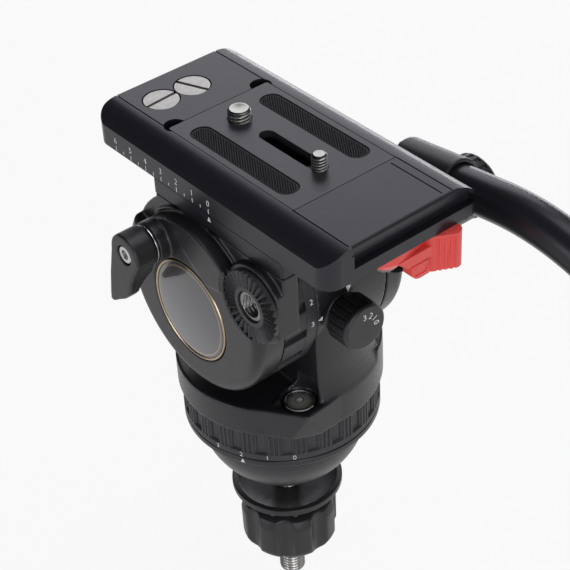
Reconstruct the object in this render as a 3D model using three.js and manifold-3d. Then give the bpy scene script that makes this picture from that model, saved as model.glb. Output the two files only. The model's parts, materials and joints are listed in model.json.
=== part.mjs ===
import * as THREE from 'three';
import { mergeVertices } from 'three/addons/utils/BufferGeometryUtils.js';
import { ConvexGeometry } from 'three/addons/geometries/ConvexGeometry.js';
import Module from 'manifold-3d';

const wasm = await Module();
wasm.setup();

// Fluid video head, millimetres. X is the operator's right, Y the lens direction, Z up.
// The origin is on the pan axis, in the plane of the rim of the bowl that holds the head.

// Driving dimensions shared by several pieces
const gap = 0.3; // clearance between neighbouring pieces
const overrun = 2; // how far a cutter runs past what it cuts
const wide = 36; // facets round a large circle
const fine = 16; // facets round a small circle
const coarse = 10; // facets round a screw
const flute = 5; // facets round a groove
const roundSteps = { corner: 3, edge: 6, nose: 12, arc: 16 }; // steps of an arc in an outline

const ballRadius = 37.5;
const ballDepth = 26;
const flangeHeight = 3.7;
const panDialHeight = 15;
const housingRadius = 44.2;
const flangeInset = 1.4; // flange and pan dial stand this far inside the housing wall
const housingHeight = 14.1;
const tiltAxisRise = 46.6; // tilt axis above the housing wall
const drumRadius = 42.3;
const uprightWidth = 36;
const uprightOffset = 5.6; // middle of the upright to the right of the pan axis
const tiltDialWidth = 16.5;
const leftCheekWidth = 13.5;
const rightCheekWidth = 11.5;
const platformWidth = 74.1;
const platformLength = 142.3;
const platformHeight = 15.2;
const platformRear = -78; // rear end of the platform at scale reading 0
const blockHeight = 6.7;
const blockRear = -52.6;
const blockFront = 25.3;
const rosetteY = -38.8;
const rosetteRise = 18.3; // rosette axis above the tilt axis
const rosetteRadius = 15.2;

// Levels worked out from them, upward
const flangeRadius = housingRadius - flangeInset;
const flangeTop = flangeHeight;
const panDialBottom = flangeTop + gap;
const panDialTop = panDialBottom + panDialHeight;
const housingBottom = panDialTop + gap;
const deckZ = housingBottom + housingHeight;
const tiltAxisZ = deckZ + tiltAxisRise;
const platformBottom = tiltAxisZ + drumRadius + 2 * gap;
const platformTop = platformBottom + platformHeight;
const blockTop = platformBottom - gap;
const blockBottom = blockTop - blockHeight;
const cheekTop = blockBottom - gap;

// Stations worked out from them, left to right
const uprightLeft = uprightOffset - uprightWidth / 2;
const uprightRight = uprightOffset + uprightWidth / 2;
const tiltDialRight = uprightLeft - gap;
const tiltDialLeft = tiltDialRight - tiltDialWidth;
const leftCheekInner = tiltDialLeft - gap;
const leftCheekOuter = leftCheekInner - leftCheekWidth;
const rightCheekInner = uprightRight + gap;
const rightCheekOuter = rightCheekInner + rightCheekWidth;
const tiltCentre = [0, 0, tiltAxisZ];
const origin = [0, 0, 0];

// Finishes
const finishes = {
  castBlack: { color: 0x232326, roughness: 0.55, metalness: 0.35 },
  anodised: { color: 0x2b2b30, roughness: 0.42, metalness: 0.45 },
  mouldedBlack: { color: 0x1d1d20, roughness: 0.5, metalness: 0 },
  dialGrey: { color: 0x343438, roughness: 0.6, metalness: 0 },
  redPlastic: { color: 0xd8443c, roughness: 0.4, metalness: 0 },
  rubber: { color: 0x17171a, roughness: 0.85, metalness: 0 },
  foam: { color: 0x1a1a1c, roughness: 0.95, metalness: 0 },
  brightSteel: { color: 0xc9c5bf, roughness: 0.3, metalness: 1 },
  darkSteel: { color: 0x6f6f73, roughness: 0.4, metalness: 0.9 },
  springSteel: { color: 0x55565a, roughness: 0.45, metalness: 0.9 },
  bronze: { color: 0xa97b45, roughness: 0.45, metalness: 0.8 },
  goldRim: { color: 0xb98d4f, roughness: 0.3, metalness: 0.9 },
  badgeGrey: { color: 0x6a6a6c, roughness: 0.2, metalness: 0.3 },
  glass: { color: 0xb9c4b0, roughness: 0.05, metalness: 0 },
};

const head = new THREE.Group();

// Helpers: turning geometry into solids and solids into named meshes

function signedVolume(position, index) {
  const a = new THREE.Vector3();
  const b = new THREE.Vector3();
  const c = new THREE.Vector3();
  let sum = 0;
  for (let i = 0; i < index.length; i += 3) {
    a.fromArray(position, index[i] * 3);
    b.fromArray(position, index[i + 1] * 3);
    c.fromArray(position, index[i + 2] * 3);
    sum += a.dot(b.cross(c));
  }
  return sum;
}

// A closed geometry becomes a solid, with its faces turned outwards
function solidOf(geometry) {
  const bare = geometry.clone();
  bare.deleteAttribute('normal');
  bare.deleteAttribute('uv');
  const merged = mergeVertices(bare, 1e-4);
  const position = Float32Array.from(merged.attributes.position.array);
  const kept = [];
  const source = merged.index.array;
  for (let i = 0; i < source.length; i += 3) {
    const [a, b, c] = [source[i], source[i + 1], source[i + 2]];
    if (a !== b && b !== c && c !== a) {
      kept.push(a, b, c);
    }
  }
  if (signedVolume(position, kept) < 0) {
    for (let i = 0; i < kept.length; i += 3) {
      [kept[i + 1], kept[i + 2]] = [kept[i + 2], kept[i + 1]];
    }
  }
  const mesh = new wasm.Mesh({
    numProp: 3,
    vertProperties: position,
    triVerts: Uint32Array.from(kept),
  });
  mesh.merge();
  return new wasm.Manifold(mesh);
}

function addPiece(name, solid, finish, parent = head) {
  const mesh = solid.getMesh();
  const geometry = new THREE.BufferGeometry();
  geometry.setAttribute('position', new THREE.BufferAttribute(mesh.vertProperties, 3));
  geometry.setIndex(new THREE.BufferAttribute(mesh.triVerts, 1));
  geometry.computeVertexNormals();
  const piece = new THREE.Mesh(geometry, new THREE.MeshStandardMaterial(finishes[finish]));
  piece.name = name;
  parent.add(piece);
  return piece;
}

// An outline drawn across an axis is carried along it: x takes (Y, Z), y takes (X, Z), z takes (X, Y)
function prism(shape, axis, from, to, segments = fine) {
  const geometry = new THREE.ExtrudeGeometry(shape, {
    depth: to - from,
    bevelEnabled: false,
    steps: 1,
    curveSegments: segments,
  });
  const turn = new THREE.Matrix4();
  if (axis === 'x') {
    geometry.translate(0, 0, from);
    turn.set(0, 0, 1, 0, 1, 0, 0, 0, 0, 1, 0, 0, 0, 0, 0, 1);
  }
  if (axis === 'y') {
    geometry.translate(0, 0, -to);
    turn.set(1, 0, 0, 0, 0, 0, -1, 0, 0, 1, 0, 0, 0, 0, 0, 1);
  }
  if (axis === 'z') {
    geometry.translate(0, 0, from);
  }
  geometry.applyMatrix4(turn);
  return solidOf(geometry);
}

function outline(points) {
  return new THREE.Shape(points.map(([a, b]) => new THREE.Vector2(a, b)));
}

function roundedRect(a0, b0, a1, b1, radius) {
  const shape = new THREE.Shape();
  shape.moveTo(a0 + radius, b0);
  shape.lineTo(a1 - radius, b0);
  shape.absarc(a1 - radius, b0 + radius, radius, -Math.PI / 2, 0, false);
  shape.lineTo(a1, b1 - radius);
  shape.absarc(a1 - radius, b1 - radius, radius, 0, Math.PI / 2, false);
  shape.lineTo(a0 + radius, b1);
  shape.absarc(a0 + radius, b1 - radius, radius, Math.PI / 2, Math.PI, false);
  shape.lineTo(a0, b0 + radius);
  shape.absarc(a0 + radius, b0 + radius, radius, Math.PI, 1.5 * Math.PI, false);
  return shape;
}

// A profile of [radius, height] is turned round an axis through a centre; the height runs along it
function turned(profile, axis, centre = origin, segments = wide) {
  const points = profile.map(([r, h]) => new THREE.Vector2(r, h));
  const geometry = new THREE.LatheGeometry(points, segments);
  const turn = new THREE.Matrix4();
  if (axis === 'x') {
    turn.set(0, 1, 0, 0, 0, 0, 1, 0, 1, 0, 0, 0, 0, 0, 0, 1);
  }
  if (axis === 'y') {
    turn.identity();
  }
  if (axis === 'z') {
    turn.set(0, 0, 1, 0, 1, 0, 0, 0, 0, 1, 0, 0, 0, 0, 0, 1);
  }
  geometry.applyMatrix4(turn);
  geometry.translate(centre[0], centre[1], centre[2]);
  return solidOf(geometry);
}

function rod(axis, centre, radius, from, to, segments = fine) {
  return turned([[0, from], [radius, from], [radius, to], [0, to]], axis, centre, segments);
}

function ring(axis, centre, inner, outer, from, to, segments = fine) {
  const profile = [[inner, from], [outer, from], [outer, to], [inner, to], [inner, from]];
  return turned(profile, axis, centre, segments);
}

function block(x0, x1, y0, y1, z0, z1) {
  const geometry = new THREE.BoxGeometry(x1 - x0, y1 - y0, z1 - z0);
  geometry.translate((x0 + x1) / 2, (y0 + y1) / 2, (z0 + z1) / 2);
  return solidOf(geometry);
}

// A hexagon socket cutter, measured across its flats
function hexSocket(axis, centre, acrossFlats, from, to) {
  const radius = acrossFlats / Math.sqrt(3);
  return rod(axis, centre, radius, from, to, 6);
}

// Points of an arc round a centre, from one angle to another in degrees
function arc(a, b, radius, start, end, steps) {
  const points = [];
  for (let i = 0; i <= steps; i += 1) {
    const angle = THREE.MathUtils.degToRad(start + (end - start) * (i / steps));
    points.push([a + radius * Math.cos(angle), b + radius * Math.sin(angle)]);
  }
  return points;
}

// Bowl mount: half ball, base flange, tie-down stud, dish and knob

const spindle = { radius: 8, headRadius: 12, headHeight: 3 };
const stud = { radius: 6, depth: 14, length: 92 };
const dish = { radius: 25, height: 9, rim: 3, drop: 44, bore: 6.8, hubShare: 2 };
const dishFacets = 28;
const tieKnob = {
  radius: 22,
  height: 30,
  hubRadius: 13,
  lobes: 8,
  lobeRadius: 5.5,
  collar: 6,
  lobeShare: 0.5,
};

const ballProfile = [[0, -ballDepth]];
const ballLowAngle = THREE.MathUtils.radToDeg(Math.asin(-ballDepth / ballRadius));
ballProfile.push(...arc(0, 0, ballRadius, ballLowAngle, 0, roundSteps.edge).slice(0, -1));
ballProfile.push([ballRadius, -gap], [0, -gap]);
const halfBall = turned(ballProfile, 'z')
  .subtract(rod('z', origin, stud.radius + gap, -ballDepth - overrun, -ballDepth + stud.depth + gap))
  .subtract(rod('z', origin, spindle.radius + gap, -ballDepth + stud.depth + 2 * gap + overrun, overrun));
addPiece('half_ball', halfBall, 'castBlack');

const flangeChamfer = 1;
const hubRise = 4;
const hub = { radius: 16, top: panDialBottom + hubRise };
const baseProfile = [
  [0, 0],
  [flangeRadius - flangeChamfer, 0],
  [flangeRadius, flangeChamfer],
  [flangeRadius, flangeTop],
  [hub.radius, flangeTop],
  [hub.radius, hub.top],
  [0, hub.top],
];
const panBase = turned(baseProfile, 'z')
  .subtract(rod('z', origin, spindle.radius + gap, -overrun, hub.top + overrun));
addPiece('pan_base', panBase, 'castBlack');

// The spindle stands in the half ball and the base and carries the housing on its head
const spindleTop = deckZ - spindle.headHeight - 2 * gap;
const spindleBottom = -ballDepth + stud.depth + 3 * gap + overrun;
const panSpindle = rod('z', origin, spindle.radius, spindleBottom, spindleTop)
  .add(rod('z', origin, spindle.headRadius, spindleTop - spindle.headHeight, spindleTop));
addPiece('pan_spindle', panSpindle, 'darkSteel');

const studBottom = -ballDepth + stud.depth - stud.length;
const tieStud = rod('z', origin, stud.radius, studBottom, -ballDepth + stud.depth);
addPiece('tie_down_stud', tieStud, 'brightSteel');

const dishTop = -dish.drop;
const dishProfile = [
  [dish.bore, dishTop - dish.height],
  [dish.bore * dish.hubShare, dishTop - dish.height],
  [dish.radius, dishTop - dish.rim],
  [dish.radius, dishTop],
  [dish.radius - dish.rim, dishTop],
  [dish.bore * dish.hubShare, dishTop - dish.rim],
  [dish.bore, dishTop - dish.rim],
  [dish.bore, dishTop - dish.height],
];
addPiece('tie_down_dish', turned(dishProfile, 'z', origin, dishFacets), 'castBlack');

const knobTop = dishTop - dish.height - gap;
const knobBottom = knobTop - tieKnob.height;
let tieKnobSolid = turned([
  [0, knobBottom],
  [tieKnob.hubRadius, knobBottom],
  [tieKnob.radius, knobBottom + tieKnob.collar],
  [tieKnob.radius, knobTop - tieKnob.collar],
  [tieKnob.hubRadius, knobTop],
  [0, knobTop],
], 'z');
for (let i = 0; i < tieKnob.lobes; i += 1) {
  const angle = (i / tieKnob.lobes) * 2 * Math.PI;
  const reach = tieKnob.radius + tieKnob.lobeRadius * tieKnob.lobeShare;
  const centre = [reach * Math.cos(angle), reach * Math.sin(angle), 0];
  const lobe = rod('z', centre, tieKnob.lobeRadius, knobBottom - overrun, knobTop + overrun, coarse);
  tieKnobSolid = tieKnobSolid.subtract(lobe);
}
tieKnobSolid = tieKnobSolid
  .subtract(rod('z', origin, stud.radius + gap, studBottom - gap, knobTop + overrun));
addPiece('tie_down_knob', tieKnobSolid, 'mouldedBlack');

// Pan stage: drag dial, fluid discs, bearing and the housing with the upright

const housingWall = 8.2; // wall of the housing round the pan discs
const panDial = {
  inner: housingRadius - housingWall,
  groups: 24,
  scallopDepth: 1,
  scallopShare: 0.5,
  marginHeight: 3.6,
};
const scallopSteps = 2;
const dialPoints = [];
for (let i = 0; i < panDial.groups; i += 1) {
  const middle = (i / panDial.groups) * 2 * Math.PI;
  const half = (panDial.scallopShare * Math.PI) / panDial.groups;
  for (let k = 0; k <= scallopSteps; k += 1) {
    const along = (2 * k) / scallopSteps - 1;
    const radius = flangeRadius - panDial.scallopDepth * (1 - along * along);
    const angle = middle + along * half;
    dialPoints.push([radius * Math.cos(angle), radius * Math.sin(angle)]);
  }
}
const dialGrip = outline(dialPoints);
const dialMarginTop = panDialBottom + panDial.marginHeight;
const panDialSolid = prism(dialGrip, 'z', dialMarginTop, panDialTop)
  .add(rod('z', origin, flangeRadius, panDialBottom, dialMarginTop, wide))
  .subtract(rod('z', origin, panDial.inner, panDialBottom - overrun, panDialTop + overrun, wide));
addPiece('pan_drag_dial', panDialSolid, 'dialGrey');

const disc = { radius: panDial.inner - gap, thickness: 4 };
const lowerDiscBottom = flangeTop + gap;
addPiece(
  'pan_brake_disc',
  ring('z', origin, hub.radius + 2 * gap, disc.radius, lowerDiscBottom, lowerDiscBottom + disc.thickness),
  'bronze',
);
const upperDiscBottom = lowerDiscBottom + disc.thickness + gap;
addPiece(
  'pan_fluid_disc',
  ring('z', origin, hub.radius + 2 * gap, disc.radius, upperDiscBottom, upperDiscBottom + disc.thickness),
  'darkSteel',
);
const panBearing = { outer: 15, height: 6 };
const panBearingBottom = hub.top + gap;
addPiece(
  'pan_bearing',
  ring('z', origin, spindle.radius + gap, panBearing.outer, panBearingBottom,
      panBearingBottom + panBearing.height),
  'brightSteel',
);

// The wall bulges to a soft corner at the rear left, where the level sits
const level = { x: -17.3, y: -33.9, radius: 6.75, height: 3, glassRadius: 5.4, rim: 0.9 };
const corner = { angle: -116.5, reach: 47.4, radius: 2.4, spreadAngle: 24, taper: 3.4, footAngle: 2 };
const cornerShape = outline([
  ...arc(0, 0, housingRadius, corner.angle - corner.spreadAngle,
      corner.angle - corner.spreadAngle + corner.footAngle, 1),
  ...arc(
    corner.reach * Math.cos(THREE.MathUtils.degToRad(corner.angle)),
    corner.reach * Math.sin(THREE.MathUtils.degToRad(corner.angle)),
    corner.radius,
    corner.angle - corner.spreadAngle * 2,
    corner.angle + corner.spreadAngle * 2,
    roundSteps.edge,
  ),
  ...arc(0, 0, housingRadius, corner.angle + corner.spreadAngle - corner.footAngle,
      corner.angle + corner.spreadAngle, 1),
  [0, 0],
]);
const cornerTop = corner.reach + corner.radius + gap;
const cornerCone = turned([
  [0, housingBottom],
  [cornerTop - corner.taper, housingBottom],
  [cornerTop, deckZ],
  [0, deckZ],
], 'z');
const cavityTop = upperDiscBottom + disc.thickness + gap;

const rightDeck = { rise: 6 }; // the deck is higher on the right, under the right cheek
const knobPlace = {
  y: -Math.max(housingRadius, drumRadius) - gap,
  drop: 5.5,
  radius: 10.4,
  seatRadius: 8.6,
};
// Shoulders of the upright: the rear one is high, the front one clears the tilting block and platform
const shoulder = { rearRise: -4, rearAngle: 165, frontRise: -24, frontAngle: -32 };
const frontAngle = THREE.MathUtils.degToRad(shoulder.frontAngle);
const rearShoulderAngle = THREE.MathUtils.degToRad(shoulder.rearAngle);
const uprightOutline = outline([
  [-housingRadius, deckZ - overrun],
  [housingRadius, deckZ - overrun],
  [housingRadius, tiltAxisZ + shoulder.frontRise],
  [drumRadius * Math.cos(frontAngle), tiltAxisZ + drumRadius * Math.sin(frontAngle)],
  [drumRadius * Math.cos(rearShoulderAngle), tiltAxisZ + drumRadius * Math.sin(rearShoulderAngle)],
  [-housingRadius, tiltAxisZ + shoulder.rearRise],
]);
const footHeight = 12; // the upright flares out to the housing wall over this height
const column = turned([
  [0, deckZ - overrun],
  [housingRadius, deckZ - overrun],
  [drumRadius, deckZ + footHeight],
  [drumRadius, tiltAxisZ + drumRadius],
  [0, tiltAxisZ + drumRadius],
], 'z', origin, wide);
const axleRadius = 7;
const bearing = { outer: 13, width: 6 };
const chamberWall = 7;
const drumWall = 10.3;
const dialSeat = 7.7; // how far the hub that the tilt dial turns on is inside the drum
const chamber = { radius: drumRadius - drumWall, left: uprightLeft + chamberWall };
const dialHub = { radius: drumRadius - dialSeat, left: tiltDialLeft + gap };

// Triangular raised pocket beside the level, running up the left face of the upright
const pocket = { rise: 6.5, rearShare: 0.66, frontShare: 0.5, clearance: 1.2, margin: 3.6, floorDrop: 1.4 };
const pocketLeft = level.x - level.radius - pocket.margin;
const pocketWedge = solidOf(new ConvexGeometry([
  [uprightLeft + overrun, -Math.sqrt(housingRadius ** 2 - uprightLeft ** 2) + gap, deckZ - overrun],
  [uprightLeft + overrun, -Math.sqrt(housingRadius ** 2 - uprightLeft ** 2) + gap, deckZ + gap],
  [uprightLeft + overrun, -housingRadius * pocket.frontShare, deckZ - overrun],
  [uprightLeft + overrun, -housingRadius * pocket.rearShare, deckZ + pocket.rise],
  [pocketLeft, -housingRadius * pocket.rearShare, deckZ - overrun],
  [pocketLeft, -housingRadius * pocket.rearShare, deckZ + gap],
].map(([x, y, z]) => new THREE.Vector3(x, y, z))));

let housing = rod('z', origin, housingRadius, housingBottom, deckZ, wide)
  .add(prism(cornerShape, 'z', housingBottom, deckZ).intersect(cornerCone))
  .add(pocketWedge)
  .add(
    rod('z', origin, housingRadius, deckZ - overrun, deckZ + rightDeck.rise, wide)
      .intersect(block(uprightRight - overrun, housingRadius, -housingRadius, housingRadius,
        deckZ - overrun, deckZ + rightDeck.rise))
      .subtract(rod('x', tiltCentre, drumRadius + gap, uprightRight - overrun, housingRadius, wide)),
  )
  .add(column.intersect(prism(uprightOutline, 'x', uprightLeft, uprightRight)))
  .add(rod('x', tiltCentre, drumRadius, uprightLeft, uprightRight, wide))
  .add(rod('x', tiltCentre, dialHub.radius, dialHub.left, uprightLeft + overrun, wide))
  .add(rod('y', [0, 0, tiltAxisZ - knobPlace.drop], knobPlace.seatRadius, knobPlace.y + gap,
      -chamber.radius - overrun));
// Rotor space under the deck, the spindle bore, the spring chamber and the seats of the bearings
const spindleWell = spindle.headRadius + gap;
housing = housing
  .subtract(rod('z', origin, disc.radius, housingBottom - overrun, cavityTop, wide))
  .subtract(rod('z', origin, panBearing.outer + gap, housingBottom - overrun,
    panBearingBottom + panBearing.height + gap))
  .subtract(rod('z', origin, spindleWell, panBearingBottom, spindleTop + gap))
  .subtract(rod('x', tiltCentre, axleRadius + gap, dialHub.left - overrun, uprightRight + overrun))
  .subtract(rod('x', tiltCentre, bearing.outer + gap, dialHub.left - overrun, dialHub.left + bearing.width))
  .subtract(rod('x', tiltCentre, chamber.radius, chamber.left, uprightRight + overrun, wide));
// Recess for the level and the bore of the balance shaft
const levelFloor = deckZ - level.height;
const balanceShaft = { radius: 3.5, inner: -chamber.radius - gap };
const knobCentre = [0, 0, tiltAxisZ - knobPlace.drop];
housing = housing
  .subtract(rod('z', [level.x, level.y, 0], level.radius + pocket.clearance, deckZ - pocket.floorDrop,
    deckZ + pocket.rise + overrun))
  .subtract(rod('z', [level.x, level.y, 0], level.radius + gap, levelFloor, deckZ + overrun))
  .subtract(rod('y', knobCentre, balanceShaft.radius + gap, knobPlace.y - overrun,
    balanceShaft.inner + overrun * 2));

// Boss for the pan lock on the right of the housing, ahead of the handle
const panLockStand = 4.8;
const panLock = {
  y: 14,
  z: 26.6,
  bossRadius: 7,
  bossReach: housingRadius + panLockStand,
  thickness: 8,
  length: 30,
  tipRadius: 4.5,
};
const panLockCentre = [0, panLock.y, panLock.z];
housing = housing
  .add(rod('x', panLockCentre, panLock.bossRadius, disc.radius, panLock.bossReach)
    .intersect(block(disc.radius + overrun, panLock.bossReach, -housingRadius, housingRadius,
        housingBottom, deckZ)));
const panLockScrew = { radius: 3, headRadius: 4.6, headDepth: 4, hex: 4, hexDepth: 2 };
const panLockBoreFrom = disc.radius + overrun * 2;
housing = housing
  .subtract(rod('x', panLockCentre, panLockScrew.radius + gap, panLockBoreFrom,
      panLock.bossReach + overrun));
addPiece('pan_housing', housing, 'castBlack');

// Round level: steel cup, glass and the painted floor under it
const levelCentre = [level.x, level.y, 0];
const cupBottom = levelFloor + gap;
const cupTop = deckZ - pocket.floorDrop + level.rim;
addPiece('level_cup', turned([
  [0, cupBottom],
  [level.radius, cupBottom],
  [level.radius, cupTop],
  [level.glassRadius + gap, cupTop],
  [level.glassRadius + gap, cupBottom + level.rim],
  [0, cupBottom + level.rim],
], 'z', levelCentre, fine), 'brightSteel');
addPiece('level_glass', turned([
  [0, cupBottom + level.rim + gap],
  [level.glassRadius, cupBottom + level.rim + gap],
  [level.glassRadius, cupTop - level.rim / 2],
  [level.glassRadius - level.rim, cupTop - gap / 2],
  [0, cupTop - gap / 2],
], 'z', levelCentre, fine), 'glass');

// Pan lock: lever with its screw, pointing forward along the housing
const leverInner = panLock.bossReach + gap;
const leverOuter = leverInner + panLock.thickness;
const panLockTip = panLock.y + panLock.length;
const panLockLever = prism(outline([
  ...arc(panLock.y, panLock.z, panLock.bossRadius, 90, 270, roundSteps.nose),
  ...arc(panLockTip, panLock.z, panLock.tipRadius, -90, 90, roundSteps.edge),
]), 'x', leverInner, leverOuter)
  .subtract(rod('x', panLockCentre, panLockScrew.radius + gap, leverInner - overrun, leverOuter + overrun))
  .subtract(rod('x', panLockCentre, panLockScrew.headRadius + gap, leverOuter - panLockScrew.headDepth,
    leverOuter + overrun));
addPiece('pan_lock_lever', panLockLever, 'mouldedBlack');
const panLockScrewSolid = rod('x', panLockCentre, panLockScrew.radius, panLockBoreFrom + gap,
  leverOuter - gap, coarse)
  .add(rod('x', panLockCentre, panLockScrew.headRadius, leverOuter - panLockScrew.headDepth + gap,
    leverOuter - gap, coarse))
  .subtract(hexSocket('x', panLockCentre, panLockScrew.hex, leverOuter - gap - panLockScrew.hexDepth,
    leverOuter + overrun));
addPiece('pan_lock_screw', panLockScrewSolid, 'brightSteel');

// Tilt unit inside the upright: bearings, spring, fluid damper and cover
const coverThickness = 4;
const coverRight = uprightRight - gap;
const coverLeft = coverRight - coverThickness;
const chamberFill = chamber.radius - gap;
const springWidth = 9;
const springInnerShare = 0.45;
const springLeft = chamber.left + gap;
const statorLeft = springLeft + springWidth + gap;
const statorWidth = 4;
const rotorLeft = statorLeft + statorWidth + gap;
const rotorWidth = coverLeft - gap - rotorLeft;
const rotorShare = 0.9;
addPiece('left_tilt_bearing', ring('x', tiltCentre, axleRadius + gap, bearing.outer,
  dialHub.left + gap, dialHub.left + bearing.width - gap), 'brightSteel');
addPiece('counterbalance_spring', ring('x', tiltCentre, chamberFill * springInnerShare, chamberFill,
  springLeft, springLeft + springWidth), 'springSteel');
addPiece('fluid_stator', ring('x', tiltCentre, axleRadius + gap, chamberFill,
  statorLeft, statorLeft + statorWidth), 'bronze');
addPiece('fluid_rotor', ring('x', tiltCentre, axleRadius + gap, chamberFill * rotorShare,
  rotorLeft, rotorLeft + rotorWidth), 'darkSteel');
addPiece('chamber_cover', ring('x', tiltCentre, bearing.outer + gap, chamberFill,
  coverLeft, coverRight), 'castBlack');
addPiece('right_tilt_bearing', ring('x', tiltCentre, axleRadius + gap, bearing.outer,
  coverLeft, coverRight), 'brightSteel');

// Tilt drag dial: grip bars on the left, a number band on the right
const tiltDial = {
  inner: dialHub.radius + 2 * gap,
  outer: drumRadius - gap / 2,
  bars: 20,
  bandWidth: 5.2,
  barDepth: 2,
};
const barShares = { top: 0.62, root: 0.775 };
const barPoints = [];
for (let i = 0; i < tiltDial.bars; i += 1) {
  const middle = (i / tiltDial.bars) * 2 * Math.PI;
  const top = (barShares.top * Math.PI) / tiltDial.bars;
  const root = (barShares.root * Math.PI) / tiltDial.bars;
  const low = tiltDial.outer - tiltDial.barDepth;
  for (const [radius, angle] of [
    [low, middle - root],
    [tiltDial.outer, middle - top],
    [tiltDial.outer, middle + top],
    [low, middle + root],
  ]) {
    barPoints.push([radius * Math.cos(angle), tiltAxisZ + radius * Math.sin(angle)]);
  }
}
const bandLeft = tiltDialRight - tiltDial.bandWidth;
const tiltDialSolid = prism(outline(barPoints), 'x', tiltDialLeft, bandLeft)
  .add(rod('x', tiltCentre, tiltDial.outer, bandLeft, tiltDialRight, wide))
  .subtract(rod('x', tiltCentre, tiltDial.inner, tiltDialLeft - overrun, tiltDialRight + overrun, wide));
addPiece('tilt_drag_dial', tiltDialSolid, 'dialGrey');

// Balance knob on the rear of the upright, with its shaft
const balanceKnob = { depth: 11.6, flutes: 16, fluteRadius: 1, chamfer: 1.1 };
const knobRear = knobPlace.y - balanceKnob.depth;
let balanceSolid = turned([
  [0, knobRear],
  [knobPlace.radius - balanceKnob.chamfer, knobRear],
  [knobPlace.radius, knobRear + balanceKnob.chamfer],
  [knobPlace.radius, knobPlace.y],
  [0, knobPlace.y],
], 'y', knobCentre, wide);
for (let i = 0; i < balanceKnob.flutes; i += 1) {
  const angle = (i / balanceKnob.flutes) * 2 * Math.PI;
  const centre = [knobPlace.radius * Math.cos(angle), 0,
      knobCentre[2] + knobPlace.radius * Math.sin(angle)];
  balanceSolid = balanceSolid
    .subtract(rod('y', centre, balanceKnob.fluteRadius, knobRear + 2 * balanceKnob.chamfer,
        knobPlace.y + overrun, flute));
}
const shaftSeat = knobPlace.y - balanceKnob.depth / 2;
balanceSolid = balanceSolid
  .subtract(rod('y', knobCentre, balanceShaft.radius + gap, shaftSeat - gap, knobPlace.y + overrun,
      coarse));
addPiece('balance_knob', balanceSolid, 'mouldedBlack');
addPiece('balance_shaft', rod('y', knobCentre, balanceShaft.radius, shaftSeat, balanceShaft.inner, coarse),
  'brightSteel');

// Tilt frame: block, left and right cheeks, and the axle through them

const scoop = drumRadius + gap;
const tongue = { topWidth: 30, neckWidth: 22, height: 6 }; // dovetail that the platform slides on
const notch = { halfWidth: 12, front: -27.6 }; // relief that lets the balance knob pass
const tongueTop = blockTop + tongue.height;
const blockHalf = platformWidth / 2;
const blockChamfer = 1;
const blockPlan = outline([
  [-blockHalf + blockChamfer, blockRear],
  [blockHalf - blockChamfer, blockRear],
  [blockHalf, blockRear + blockChamfer],
  [blockHalf, blockFront],
  [-blockHalf, blockFront],
  [-blockHalf, blockRear + blockChamfer],
]);
const tongueSection = outline([
  [-tongue.neckWidth / 2, blockTop - overrun],
  [tongue.neckWidth / 2, blockTop - overrun],
  [tongue.neckWidth / 2, blockTop],
  [tongue.topWidth / 2, tongueTop],
  [-tongue.topWidth / 2, tongueTop],
  [-tongue.neckWidth / 2, blockTop],
]);
const bearingTop = block(-blockHalf, blockHalf, blockRear, blockFront, blockBottom, tongueTop);
let topBlock = prism(blockPlan, 'z', blockBottom, blockTop)
  .add(prism(tongueSection, 'y', blockRear, blockFront).intersect(bearingTop))
  .subtract(rod('x', tiltCentre, scoop, tiltDialLeft - gap, rightCheekInner, wide))
  .subtract(block(-notch.halfWidth, notch.halfWidth, blockRear - overrun, notch.front,
    blockBottom - overrun, tongueTop + overrun));
const blockScrew = { radius: 1.8, headRadius: 3, headDepth: 3, y: -35 };
const blockScrewX = {
  left: (leftCheekInner - blockHalf) / 2,
  right: rightCheekInner + rightCheekWidth / 2,
};
for (const x of Object.values(blockScrewX)) {
  topBlock = topBlock
    .subtract(rod('z', [x, blockScrew.y, 0], blockScrew.radius + gap, blockBottom - overrun,
        blockTop + overrun, coarse))
    .subtract(rod('z', [x, blockScrew.y, 0], blockScrew.headRadius + gap,
        blockTop - blockScrew.headDepth - gap, blockTop + overrun, coarse));
}

// Left cheek: a round drum with the badge, rising to the block, with bosses for lever and rosette
const cheek = { fillet: 4.5, rearLow: 14.4 };
const badge = { radius: 22.5, y: 0.8, drop: 6.3, recess: 1.4, rimWidth: 1.5, dome: 1.2, thickness: 1 };
const badgeCentre = [0, badge.y, tiltAxisZ - badge.drop];
// Between the two bosses the drum is smaller, and steps out from the flat wall
const arch = { inner: 35.2, startAngle: 25, endAngle: 158 };
const rosetteZ = tiltAxisZ + rosetteRise;
const rosetteCentre = [0, rosetteY, rosetteZ];
const rosette = { bossRadius: 17, teeth: 32, toothDepth: 0.9, toothShare: 0.5, thickness: 2.6,
  hubRadius: 8.4,
  sink: 2.6 };
const leftRosetteInner = leftCheekOuter + rosette.sink;
const lock = { y: 18, rise: 20.2, bossRadius: 8.9, bossReach: 48, washer: 0.7 };
const lockCentre = [0, lock.y, tiltAxisZ + lock.rise];
function cheekUpper(radius) {
  return outline([
    [blockRear, cheekTop],
    [blockRear, tiltAxisZ + cheek.rearLow],
    [-Math.sqrt(radius ** 2 - cheek.rearLow ** 2), tiltAxisZ + cheek.rearLow],
    [0, tiltAxisZ],
    [blockFront, tiltAxisZ],
    [blockFront, cheekTop],
  ]);
}
const leftDrum = turned([
  [0, leftCheekOuter],
  ...arc(drumRadius - cheek.fillet, leftCheekOuter + cheek.fillet, cheek.fillet, -90, 0, roundSteps.corner),
  [drumRadius, leftCheekInner],
  [0, leftCheekInner],
], 'x', tiltCentre);
const topRoom = block(-2 * blockHalf, 2 * blockHalf, -platformLength, platformLength, cheekTop,
  platformTop + platformLength);
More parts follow.
